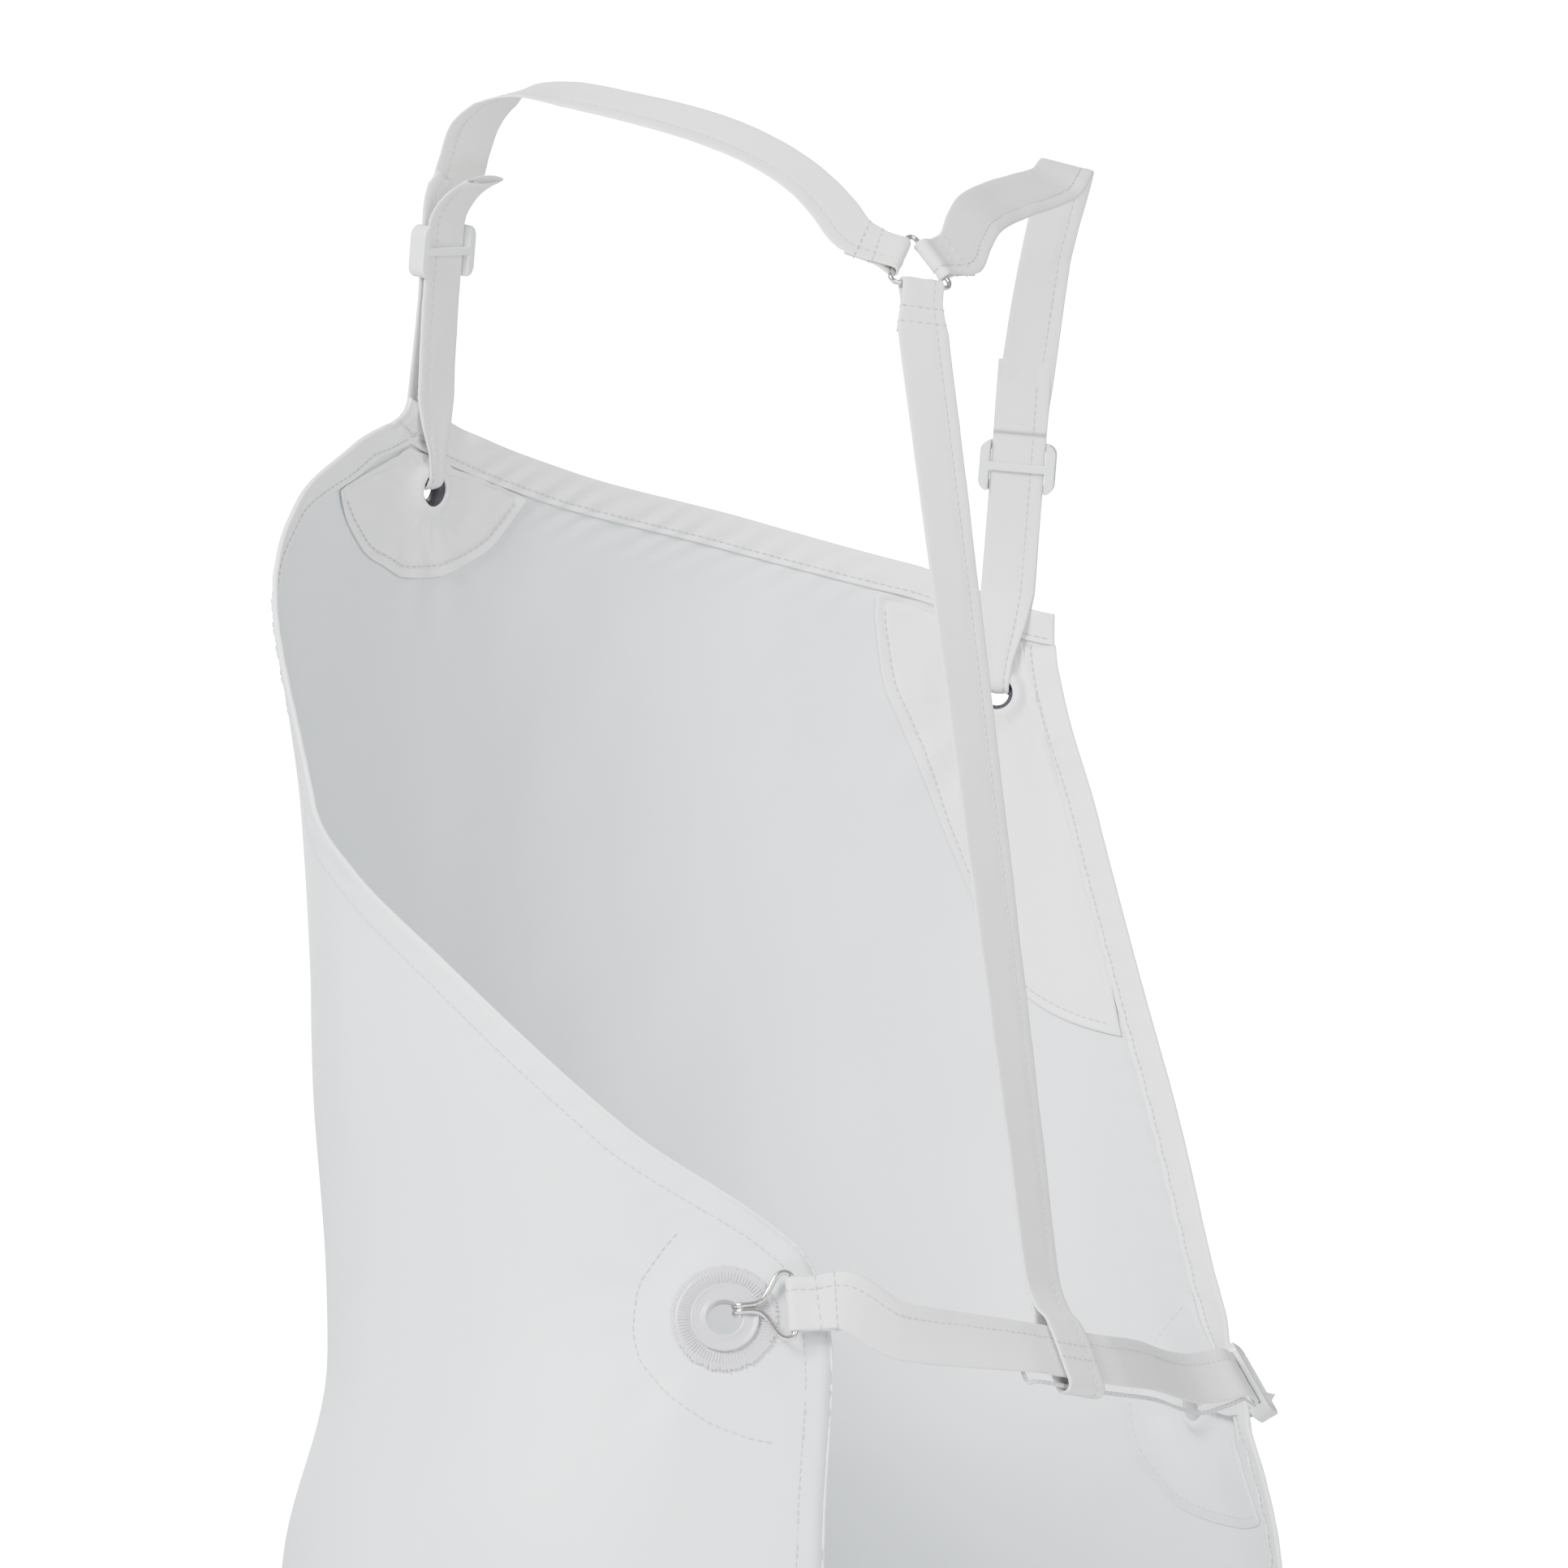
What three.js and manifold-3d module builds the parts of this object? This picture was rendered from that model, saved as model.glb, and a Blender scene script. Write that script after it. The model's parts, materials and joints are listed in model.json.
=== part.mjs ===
// A butcher's bib apron of coated fabric, worn: bib and skirt in one panel with sewn hems,
// corner patches and plastic eyelets, two shoulder straps and a back strap joined by a wire
// triangle, a waist belt with a wire hook, and three slide adjusters.
// Frame: +Z up, the wearer faces -Y, the wearer's left is +X; the origin is midway between
// the places where the two straps cross the shoulders.
import * as THREE from 'three';
import { mergeVertices } from 'three/addons/utils/BufferGeometryUtils.js';
import Module from 'manifold-3d';

const wasm = await Module();
wasm.setup();

// ---------------------------------------------------------------- driving dimensions, mm
const shoulderHalfSpan = 136.5; // centre of the body to each strap crossing
const waistDrop = 560; // shoulder tops down to the waist
const hemDrop = 1300; // shoulder tops down to the bottom edge
const waistWidth = 424; // worn apron across the waist
const waistDepth = 344; // worn apron from front to back at the waist
const leftCornerDrop = 122; // shoulder tops down to the bib's left corner
const rightCornerDrop = 189; // the right strap is let out further than the left
const cloth = 0.8; // thickness of one layer
const hemFold = 14; // width of a turned hem
const gap = 0.3; // clearance between layers that lie on each other
const strapWidth = 25;
const strapThickness = 1.4;
const gatheredWidth = 10.8; // strap bunched where it passes through an eyelet
const ringWidth = 20; // strap eased in where it loops round the wire triangle
const eyeletBore = 14.4;
const eyeletWall = 1.4;
const eyeletFlange = 28.5; // diameter of the eyelet's outer flange
const eyeletLip = 1.2; // how far the inner rim laps the cloth
const flangeThickness = 1.2;
const washerDiameter = 45;
const washerThickness = 1.2;
const washerTeeth = 36;
const toothDepth = 0.9;
const cornerPatch = 76; // half width of a bib patch
const patchBelow = 41; // how far a patch reaches beyond its eyelet
const waistPatch = 62; // half height of a waist patch
const longPatch = 195; // length of the right bib patch down the armhole
const longPatchWidth = 84;
const bibEyeletInset = 24; // corner to eyelet along the top
const bibEyeletBelow = 35;
const waistEyeletInset = 44; // side edge to waist eyelet
const sliderLength = 35; // across the strap
const sliderHeight = 23.5; // along the strap
const sliderBar = 4; // height of the end bars
const middleBar = 3.6;
const barThickness = 2.2;
const leftSliderAt = 66; // top edge of the bib to slider centre along the strap
const rightSliderAt = 58;
const waistSliderAt = 18; // side edge to slider centre
const beltTwist = 24; // lean of the belt at its slider, degrees
const tailLength = 38; // strap end beyond its slider
const ringWire = 2.6;
const ringClearance = 0.6; // wire to strap inside a loop that turns
const hookWire = 1.9;
const hookLength = 25; // bar to crook
const hookProng = 7.5; // depth of the crook below the hook's plane
const hookSpread = 14.2; // half the width across the shoulders
const sewnEnd = 22; // length of a strap end turned back and sewn down
const beltLoopDrop = 3; // how far the returned belt end sags below the belt
const beltLoopClearance = 1.2;

const sideEdgeDrop = waistDrop - 12; // where the armhole ends and the side edge begins

// ---------------------------------------------------------------- small helpers
const vec = (x, y, z) => new THREE.Vector3(x, y, z);
const mix = (a, b, t) => a + (b - a) * t;
const radians = THREE.MathUtils.degToRad;
const smooth = (t) => THREE.MathUtils.smoothstep(t, 0, 1);
/** The part of a line square to an axis, at unit length. */
const square = (line, axis) => line.clone().addScaledVector(axis, -line.dot(axis)).normalize();

/** Smooth curve without overshoot through [x, y] points in rising x, flat beyond its ends. */
function through(points) {
  const slope = points.map((point, i) => {
    if (i === 0 || i === points.length - 1) return 0;
    const before = (point[1] - points[i - 1][1]) / (point[0] - points[i - 1][0]);
    const after = (points[i + 1][1] - point[1]) / (points[i + 1][0] - point[0]);
    return before * after > 0 ? (2 * before * after) / (before + after) : 0;
  });
  return (x) => {
    if (x <= points[0][0]) return points[0][1];
    const last = points.length - 1;
    if (x >= points[last][0]) return points[last][1];
    const i = points.findIndex((point) => point[0] > x) - 1;
    const width = points[i + 1][0] - points[i][0];
    const t = (x - points[i][0]) / width;
    const start = (1 + 2 * t) * (1 - t) ** 2 * points[i][1] + t * (1 - t) ** 2 * width * slope[i];
    return start + t * t * (3 - 2 * t) * points[i + 1][1] + t * t * (t - 1) * width * slope[i + 1];
  };
}

// ---------------------------------------------------------------- shape of the worn panel
// Height level: 0 at the shoulders, 1 at the waist, 2 at the bottom edge.
const level = (drop) =>
  drop < waistDrop ? drop / waistDrop : 1 + (drop - waistDrop) / (hemDrop - waistDrop);
const girth = through([[0.2, 1.02], [0.54, 1.06], [0.72, 1.05], [1, 0.99], [1.12, 1.062], [2, 1.12]]);
const depth = through([
  [0.2, 0.75], [0.3, 0.825], [0.4, 0.877], [0.55, 0.93], [1, 1], [1.15, 1.05], [2, 1.13],
]);
const sideShift = through([[0.25, -12], [0.54, -2], [1, 0.5], [1.15, 4], [2, 5]]);
const rightEdge = through([
  [0.34, -50], [0.51, -58.5], [0.67, -67.8], [0.84, -80.8],
  [0.97, -94.5], [1.02, -101], [1.1, -106], [2, -97],
]);
const leftEdge = through([
  [0.218, 48], [0.27, 60], [0.33, 72], [0.42, 77], [0.5, 78.5], [0.58, 83],
  [0.64, 96], [0.72, 114], [0.86, 139], [0.97, 160.5], [1.05, 162.5], [2, 152],
]);
const armholeFlare = 30; // the left armhole edge stands away from the body
const skirtWave = 7; // depth of the skirt's vertical folds at the bottom

/** Point of the panel's middle surface at an angle from the front, in degrees, and a drop. */
function clothPoint(angle, drop) {
  const h = level(drop);
  const turn = radians(angle);
  const flare = armholeFlare * Math.exp(-(((h - 0.38) / 0.13) ** 2)) * smooth((angle - 25) / 50);
  const wave = skirtWave * smooth((h - 1.05) / 0.95) * Math.cos(6 * turn + 0.6);
  const halfWidth = (girth(h) * waistWidth) / 2 + flare + wave;
  const halfDepth = (depth(h) * waistDepth) / 2 + wave;
  return vec(sideShift(h) + halfWidth * Math.sin(turn), -halfDepth * Math.cos(turn), -drop);
}

const topRise = through([[0, 0], [0.18, 12], [0.38, 14], [0.65, 7.5], [1, 0]]); // bow of the top edge
const topDrop = (across) => mix(rightCornerDrop, leftCornerDrop, across) - topRise(across);

// Grid lines of the panel: the first and last columns and rows are exactly the hems.
const innerColumns = 26;
const upperRows = 18;
const lowerRows = 8;
const columns = innerColumns + 2;
const rows = upperRows + lowerRows + 2;
const waistRow = 1 + upperRows;

function rowDrop(across, row) {
  const top = topDrop(across);
  if (row === 0) return top;
  if (row === rows) return hemDrop;
  if (row <= waistRow) return mix(top + hemFold, sideEdgeDrop, (row - 1) / upperRows);
  return mix(sideEdgeDrop, hemDrop - hemFold, (row - waistRow) / lowerRows);
}

const onRow = (across, drop) =>
  clothPoint(mix(rightEdge(level(drop)), leftEdge(level(drop)), across), drop);

/** Share of the row that a hem takes at one edge, measured square to that edge. */
function hemShare(edge, drop) {
  const inward = edge === 0 ? 0.02 : 0.98;
  const along = onRow(edge, drop + 1).sub(onRow(edge, drop - 1)).normalize();
  const across = onRow(inward, drop).sub(onRow(edge, drop));
  const clear = across.clone().addScaledVector(along, -across.dot(along)).length();
  return (0.02 * hemFold) / clear;
}

function gridPoint(column, row) {
  const guess = column / columns;
  const drop = rowDrop(guess, row);
  const first = hemShare(0, drop);
  const last = 1 - hemShare(1, drop);
  let across = mix(first, last, (column - 1) / innerColumns);
  if (column === 0) across = 0;
  if (column === columns) across = 1;
  return onRow(across, rowDrop(across, row));
}

const grid = [];
for (let column = 0; column <= columns; column += 1) {
  grid.push([]);
  for (let row = 0; row <= rows; row += 1) grid[column].push(gridPoint(column, row));
}

function gridNormal(column, row) {
  const side = grid[Math.min(column + 1, columns)][row].clone().sub(grid[Math.max(column - 1, 0)][row]);
  const down = grid[column][Math.min(row + 1, rows)].clone().sub(grid[column][Math.max(row - 1, 0)]);
  return side.cross(down).normalize().negate();
}
const normals = grid.map((line, column) => line.map((_, row) => gridNormal(column, row)));

/** Point on the faceted panel at real-valued grid coordinates, offset outwards. */
function sheetPoint(column, row, offset) {
  const c = Math.min(Math.floor(column), columns - 1);
  const r = Math.min(Math.floor(row), rows - 1);
  const corner = (i, j) => grid[c + i][r + j].clone().addScaledVector(normals[c + i][r + j], offset);
  const upper = corner(0, 0).lerp(corner(1, 0), column - c);
  const lower = corner(0, 1).lerp(corner(1, 1), column - c);
  return upper.lerp(lower, row - r);
}

// ---------------------------------------------------------------- solids from meshes
function meshGeometry(points, faces) {
  const geometry = new THREE.BufferGeometry();
  const numbers = points.flatMap((p) => [p.x, p.y, p.z]);
  geometry.setAttribute('position', new THREE.Float32BufferAttribute(numbers, 3));
  geometry.setIndex(faces.flat());
  return geometry;
}

function solid(geometry) {
  const plain = geometry.clone();
  plain.deleteAttribute('normal');
  plain.deleteAttribute('uv');
  const merged = mergeVertices(plain, 1e-5);
  return new wasm.Manifold(new wasm.Mesh({
    numProp: 3,
    vertProperties: new Float32Array(merged.attributes.position.array),
    triVerts: new Uint32Array(merged.index.array),
  }));
}

function fromSolid(body) {
  const mesh = body.getMesh();
  const geometry = new THREE.BufferGeometry();
  geometry.setAttribute('position', new THREE.BufferAttribute(new Float32Array(mesh.vertProperties), 3));
  geometry.setIndex(new THREE.BufferAttribute(new Uint32Array(mesh.triVerts), 1));
  return geometry;
}

/** Closed slab over listed grid columns and rows, between two offsets from the panel. */
function slab(columnList, rowList, inner, outer) {
  const points = [];
  const faces = [];
  const wide = columnList.length;
  const tall = rowList.length;
  for (const offset of [inner, outer]) {
    for (const row of rowList) {
      for (const column of columnList) points.push(sheetPoint(column, row, offset));
    }
  }
  const at = (side, j, i) => side * wide * tall + j * wide + i;
  const quad = (a, b, c, d) => faces.push([a, b, c], [a, c, d]);
  for (let j = 0; j < tall - 1; j += 1) {
    for (let i = 0; i < wide - 1; i += 1) {
      quad(at(1, j, i), at(1, j + 1, i), at(1, j + 1, i + 1), at(1, j, i + 1));
      quad(at(0, j, i), at(0, j, i + 1), at(0, j + 1, i + 1), at(0, j + 1, i));
    }
  }
  for (let i = 0; i < wide - 1; i += 1) {
    quad(at(0, 0, i), at(1, 0, i), at(1, 0, i + 1), at(0, 0, i + 1));
    quad(at(0, tall - 1, i + 1), at(1, tall - 1, i + 1), at(1, tall - 1, i), at(0, tall - 1, i));
  }
  for (let j = 0; j < tall - 1; j += 1) {
    quad(at(0, j + 1, 0), at(1, j + 1, 0), at(1, j, 0), at(0, j, 0));
    quad(at(0, j, wide - 1), at(1, j, wide - 1), at(1, j + 1, wide - 1), at(0, j + 1, wide - 1));
  }
  return meshGeometry(points, faces);
}

/** Whole numbers from first to last, with the ends drawn in by a clearance in grid units. */
function steps(first, last, startTrim = 0, endTrim = 0) {
  const list = [];
  for (let value = first; value <= last; value += 1) list.push(value);
  list[0] += startTrim;
  list[list.length - 1] -= endTrim;
  return list;
}

/** Extrusion of a flat shape, standing on a local frame: x = frame.w, y = frame.d, z = frame.n. */
function placed(geometry, frame) {
  const basis = new THREE.Matrix4().makeBasis(frame.w, frame.d, frame.n).setPosition(frame.origin);
  return geometry.applyMatrix4(basis);
}

const inFrame = (frame, along, out, side = 0) =>
  frame.origin
    .clone()
    .addScaledVector(frame.d, along)
    .addScaledVector(frame.n, out)
    .addScaledVector(frame.w, side);

// ---------------------------------------------------------------- places of the eyelets
/** Angle that lies an arc length away from another angle at one drop. */
function angleAfter(angle, arc, drop) {
  const perDegree = clothPoint(angle + 0.5, drop).distanceTo(clothPoint(angle - 0.5, drop));
  return angle + arc / perDegree;
}

/** Grid coordinates of the cell and the place in it that is nearest to a point. */
function onSheet(target) {
  let best = { distance: Infinity };
  const fine = 10;
  for (let i = 0; i < columns * fine; i += 1) {
    for (let j = 0; j < rows * fine; j += 1) {
      const place = sheetPoint((i + 0.5) / fine, (j + 0.5) / fine, 0);
      const distance = place.distanceTo(target);
      if (distance < best.distance) best = { distance, column: (i + 0.5) / fine, row: (j + 0.5) / fine };
    }
  }
  return best;
}

/**
 * Frame at an eyelet: d runs to where a strap pulled toward a point crosses the edge, n outwards.
 * Its seat is the same frame laid flat on the cloth at the eyelet itself. The edge lies aslant
 * below the strap: edgeAt is where the strap's middle crosses it, clearAt where all of it has.
 */
function eyeletFrame(target, toward, edge) {
  const place = onSheet(target);
  const origin = sheetPoint(place.column, place.row, 0);
  const axis = sheetPoint(place.column, place.row, 1).sub(origin).normalize();
  const side = toward.clone().sub(origin).cross(axis).normalize();
  const offLine = (point) => Math.abs(point.clone().sub(origin).dot(side));
  const near = edge.filter((point) => point.distanceTo(origin) < 90);
  const crossing = near.reduce((best, point) => (offLine(point) < offLine(best) ? point : best));
  const d = crossing.clone().sub(origin).normalize();
  const n = square(axis, d);
  const flat = square(d, axis);
  const cell = { column: place.column, row: place.row };
  const seat = { origin, d: flat, n: axis, w: flat.clone().cross(axis), ...cell };
  const w = d.clone().cross(n);
  const sideways = (point) => Math.abs(point.clone().sub(origin).dot(w));
  const underStrap = near.filter((point) => sideways(point) < strapWidth / 2 + 2);
  const clearAt = 1 + Math.max(...underStrap.map((point) => point.clone().sub(origin).dot(d)));
  return { origin, d, n, w, edgeAt: crossing.distanceTo(origin), clearAt, seat, ...cell };
}

const edgeSamples = (count, pointAt) => Array.from({ length: 8 * count + 1 }, (_, i) => pointAt(i / 8));
const topEdge = edgeSamples(columns, (column) => sheetPoint(column, 0, 0));
const sideEdge = (column) => edgeSamples(rows, (row) => sheetPoint(column, row, 0));

function bibFrame(side) {
  const corner = side > 0 ? leftCornerDrop : rightCornerDrop;
  const drop = corner + bibEyeletBelow;
  const edge = side > 0 ? leftEdge(level(corner)) : rightEdge(level(corner));
  const angle = angleAfter(edge, -side * bibEyeletInset, drop);
  return eyeletFrame(clothPoint(angle, drop), side > 0 ? leftFront : rightFront, topEdge);
}

function waistFrame(side) {
  const edge = side > 0 ? leftEdge(level(waistDrop)) : rightEdge(level(waistDrop));
  const angle = angleAfter(edge, -side * waistEyeletInset, waistDrop);
  const target = clothPoint(angle, waistDrop);
  const toward = clothPoint(edge, waistDrop);
  return eyeletFrame(target, toward, sideEdge(side > 0 ? columns : 0));
}

const leftFront = vec(shoulderHalfSpan * 1.05, -60, -28);
const rightFront = vec(-shoulderHalfSpan * 1.09, -70, -76);
const places = {
  left_bib: bibFrame(1),
  right_bib: bibFrame(-1),
  left_waist: waistFrame(1),
  right_waist: waistFrame(-1),
};

// How each doubled strap leaves the cloth's edge for its slider.
const beltFront = vec(-waistWidth * 0.395, waistDepth * 0.235, -waistDrop - 3);
const holds = {
  left: { frame: places.left_bib, toward: leftFront, at: leftSliderAt, proud: 0, twist: 0 },
  right: { frame: places.right_bib, toward: rightFront, at: rightSliderAt, proud: 0, twist: 0 },
  waist: { frame: places.right_waist, toward: beltFront, at: waistSliderAt, proud: 4.5, twist: beltTwist },
};

/** Lowest and highest n of the panel over a rectangle, or a disc, of an eyelet's frame. */
function clothExtent(frame, inside) {
  const extent = { low: 0, high: 0 };
  const reach = 3; // grid cells each way
  const step = 1 / 12;
  const range = (at, most) => [Math.max(0, Math.floor(at) - reach), Math.min(most, Math.floor(at) + reach)];
  const [firstColumn, lastColumn] = range(frame.column, columns);
  const [firstRow, lastRow] = range(frame.row, rows);
  for (let column = firstColumn; column <= lastColumn; column += step) {
    for (let row = firstRow; row <= lastRow; row += step) {
      const local = sheetPoint(column, row, 0).sub(frame.origin);
      const out = local.dot(frame.n);
      if (!inside(local.dot(frame.d), local.dot(frame.w))) continue;
      extent.low = Math.min(extent.low, out);
      extent.high = Math.max(extent.high, out);
    }
  }
  return extent;
}

// ---------------------------------------------------------------- panel, hems, patches
const liningInner = -(cloth / 2 + gap + cloth); // inner face of hems and patches
const liningOuter = -(cloth / 2 + gap);
const boreOuter = eyeletBore / 2 + eyeletWall;
const punched = boreOuter + gap; // hole punched in the cloth

const trimRow = gap / hemFold; // clearance next to a hem, in rows
const trimColumn = gap / hemFold;

function punch(frame, radius) {
  const drill = new THREE.CylinderGeometry(radius, radius, 24, 24).rotateX(Math.PI / 2);
  return solid(placed(drill, frame.seat));
}

function panelGeometry() {
  let body = solid(slab(steps(0, columns), steps(0, rows), -cloth / 2, cloth / 2));
  for (const frame of Object.values(places)) body = body.subtract(punch(frame, punched));
  return fromSolid(body);
}

/** Cutter for a patch: an outline in the eyelet's w-d plane, taken through the cloth. */
function patchCutter(frame, shape) {
  const prism = new THREE.ExtrudeGeometry(shape, { depth: 120, bevelEnabled: false, curveSegments: 24 });
  return solid(placed(prism.translate(0, 0, -80), frame));
}

function patchGeometry(frame, columnList, rowList, shape) {
  const layer = solid(slab(columnList, rowList, liningInner, liningOuter));
  return fromSolid(layer.intersect(patchCutter(frame, shape)).subtract(punch(frame, punched)));
}

/** Half-round patch whose centre lies on the cloth's edge. */
function roundPatch(frame, across, along) {
  return new THREE.Shape().absellipse(0, frame.edgeAt, across, along, 0, 2 * Math.PI);
}

/** Long patch: as wide as a corner patch at the top, tapering down the armhole edge. */
function taperedPatch(frame, corner) {
  const local = corner.clone().sub(frame.origin);
  const x = local.dot(frame.w);
  const y = local.dot(frame.d);
  const inward = -Math.sign(x);
  const across = (share) => x + inward * longPatchWidth * share;
  const down = (share) => y - longPatch * share;
  const shape = new THREE.Shape();
  shape.moveTo(across(-1), down(-0.2));
  shape.lineTo(across(1), down(-0.2));
  shape.lineTo(across(1), down(0.04));
  shape.quadraticCurveTo(across(0.94), down(0.19), across(0.79), down(0.3));
  shape.lineTo(across(0.13), down(0.825));
  shape.quadraticCurveTo(across(-0.08), down(1), across(-1), down(1));
  return shape;
}

// ---------------------------------------------------------------- straps
/** Closed flat strap through stations of a point, a face normal and a half width. */
function strapGeometry(stations) {
  const points = [];
  const faces = [];
  const last = stations.length - 1;
  stations.forEach((station, i) => {
    const before = stations[Math.max(i - 1, 0)].point;
    const after = stations[Math.min(i + 1, last)].point;
    const along = after.clone().sub(before).normalize();
    const side = along.clone().cross(station.face).normalize();
    const face = side.clone().cross(along).normalize();
    const corner = (s, f) => station.point.clone()
      .addScaledVector(side, s * station.half).addScaledVector(face, (f * strapThickness) / 2);
    points.push(corner(-1, -1), corner(1, -1), corner(1, 1), corner(-1, 1));
  });
  for (let i = 0; i < last; i += 1) {
    for (let k = 0; k < 4; k += 1) {
      const a = 4 * i + k;
      const b = 4 * i + ((k + 1) % 4);
      faces.push([a, b + 4, b], [a, a + 4, b + 4]);
    }
  }
  faces.push([0, 1, 2], [0, 2, 3]);
  const end = 4 * last;
  faces.push([end, end + 2, end + 1], [end, end + 3, end + 2]);
  return meshGeometry(points, faces);
}

const station = (point, face, half = strapWidth / 2) => ({ point, face, half });

/** Smooth run of stations through a few guide stations. */
function flow(guides, stepLength = 16) {
  const curve = new THREE.CatmullRomCurve3(guides.map((guide) => guide.point), false, 'centripetal');
  const list = [];
  for (let i = 0; i < guides.length - 1; i += 1) {
    const span = guides[i].point.distanceTo(guides[i + 1].point);
    const count = Math.max(1, Math.round(span / stepLength));
    for (let k = i === 0 ? 0 : 1; k <= count; k += 1) {
      const t = k / count;
      const point = curve.getPoint((i + t) / (guides.length - 1));
      const face = guides[i].face.clone().lerp(guides[i + 1].face, t).normalize();
      list.push(station(point, face, mix(guides[i].half, guides[i + 1].half, t)));
    }
  }
  return list;
}

/** Strap end turned round a bar: from the sewn tail, round the bar, back along itself. */
function barLoop(bar, reach, radius, half, fullHalf = half) {
  const list = [];
  const layers = (strapThickness + gap) / 2;
  const at = (along, out) => inFrame(bar, along, out);
  const turned = bar.n.clone().negate();
  list.push(station(at(reach, -layers), turned, fullHalf));
  list.push(station(at(radius + 5.5, -layers), turned, half));
  for (let turn = -105; turn <= 105; turn += 30) {
    const angle = radians(turn);
    const face = bar.d.clone().multiplyScalar(-Math.cos(angle)).addScaledVector(bar.n, Math.sin(angle));
    list.push(station(at(-radius * Math.cos(angle), radius * Math.sin(angle)), face, half));
  }
  list.push(station(at(radius + 5.5, layers), bar.n, half));
  list.push(station(at(reach, layers), bar.n, fullHalf));
  return list;
}

/** Height of the two strands of an eyelet loop above the eyelet's plane. */
function strandHeights(frame, edgeAt) {
  const near = clothExtent(frame, (d, w) => d > 0 && d < edgeAt + 3 && Math.abs(w) < strapWidth / 2 + 2);
  const flange = eyeletStack(frame);
  return {
    outer: near.high + cloth / 2 + gap + strapThickness / 2 + 0.2,
    inner: near.low + liningInner - gap - strapThickness / 2 - 0.2,
    overFlange: flange.top + gap + strapThickness / 2 + 0.1,
    overWasher: flange.flangeSeat + gap + strapThickness / 2 + 0.1,
    underRim: flange.bottom - gap - strapThickness / 2 - 0.1,
  };
}

const bedding = 0.6; // extra room below hard pieces where the cloth is curved

/** Distances from an eyelet's plane to the faces of its washer and flange. */
function eyeletStack({ seat }) {
  const disc = (radius) => (d, w) => Math.hypot(d, w) < radius;
  const washerSeat = clothExtent(seat, disc(washerDiameter / 2)).high + cloth / 2 + gap + bedding;
  const flangeSeat = washerSeat + washerThickness + gap;
  const rimSeat = clothExtent(seat, disc(boreOuter + eyeletLip)).low + liningInner - gap - bedding;
  const top = flangeSeat + flangeThickness;
  return { washerSeat, flangeSeat, rimSeat, top, bottom: rimSeat - flangeThickness };
}

const pairSpacing = strapThickness + 0.6; // between the two strands inside a slider

/**
 * Frame of the straight pair of strands: it starts level with the strands where they pass the
 * cloth's edge, or proud of them, runs toward a point, and may be twisted about that line.
 */
function strandFrame({ frame, toward, proud, twist }, middle) {
  const origin = inFrame(frame, frame.clearAt, middle + proud);
  const d = square(toward.clone().sub(origin), frame.w);
  const turn = radians(twist);
  const w = frame.w.clone().applyAxisAngle(d, turn);
  return { origin, d, n: square(frame.n, d).applyAxisAngle(d, turn), w };
}

/** The two strands of a strap that is threaded through an eyelet and doubled back. */
function eyeletLoop(hold, straightTo, meetAt) {
  const frame = hold.frame;
  const seat = frame.seat;
  const edgeAt = frame.clearAt;
  const height = strandHeights(frame, edgeAt);
  const middle = (height.outer + height.inner) / 2;
  const narrow = gatheredWidth / 2;
  const radius = (height.overFlange - height.underRim) / 2;
  const centre = (height.overFlange + height.underRim) / 2;
  const turnAt = eyeletBore / 2 - 1.2;
  const nearCloth = Math.min(height.underRim, height.inner);
  const pair = strandFrame(hold, middle);
  const outerRun = [
    station(inFrame(pair, straightTo, pairSpacing / 2), pair.n),
    station(inFrame(pair, mix(meetAt, straightTo, 0.5), pairSpacing / 2), pair.n),
    station(inFrame(pair, meetAt, pairSpacing / 2), pair.n),
    station(inFrame(frame, edgeAt, Math.max(height.outer, middle + pairSpacing / 2)), frame.n),
    station(inFrame(seat, washerDiameter / 2 + 1.5, height.overWasher), seat.n, narrow * 1.75),
    station(inFrame(seat, eyeletFlange / 2 + 1.5, height.overFlange), seat.n, narrow * 1.15),
    station(inFrame(seat, turnAt + 2, height.overFlange), seat.n, narrow),
  ];
  const turn = [];
  for (let angle = 75; angle >= -75; angle -= 30) {
    const a = radians(angle);
    const squash = Math.min(radius, turnAt - 0.6);
    const face = seat.n.clone().multiplyScalar(Math.sin(a)).addScaledVector(seat.d, -Math.cos(a));
    const point = inFrame(seat, turnAt - squash * Math.cos(a), centre + radius * Math.sin(a));
    turn.push(station(point, face, narrow));
  }
  const inwards = frame.n.clone().negate();
  const innerRun = [
    station(inFrame(seat, turnAt + 2, height.underRim), inwards, narrow),
    station(inFrame(seat, eyeletFlange / 2 + 1.5, nearCloth), inwards, narrow * 1.15),
    station(inFrame(frame, Math.max(edgeAt * 0.7, 22), height.inner - 0.6), inwards, narrow * 1.9),
    station(inFrame(frame, edgeAt, height.inner), inwards),
    station(inFrame(pair, meetAt, -pairSpacing / 2), pair.n.clone().negate()),
  ];
  return { outerRun, turn, innerRun, pair };
}

// ---------------------------------------------------------------- wire triangle at the nape
const napePoint = vec(-1, 116, -91);
const ringFrame = (() => {
  const n = vec(0, 0.93, 0.37).normalize();
  const w = vec(-1, 0, 0);
  return { origin: napePoint, n, w, d: n.clone().cross(w) };
})();
const ringLoopRadius = ringWire / 2 + ringClearance + strapThickness / 2;
const ringSide = ringWidth + 2 * ((ringLoopRadius + strapThickness / 2 + gap) / Math.tan(radians(30))) + 1;
const ringInset = ringSide / (2 * Math.sqrt(3)); // centre to the middle of a side

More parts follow.
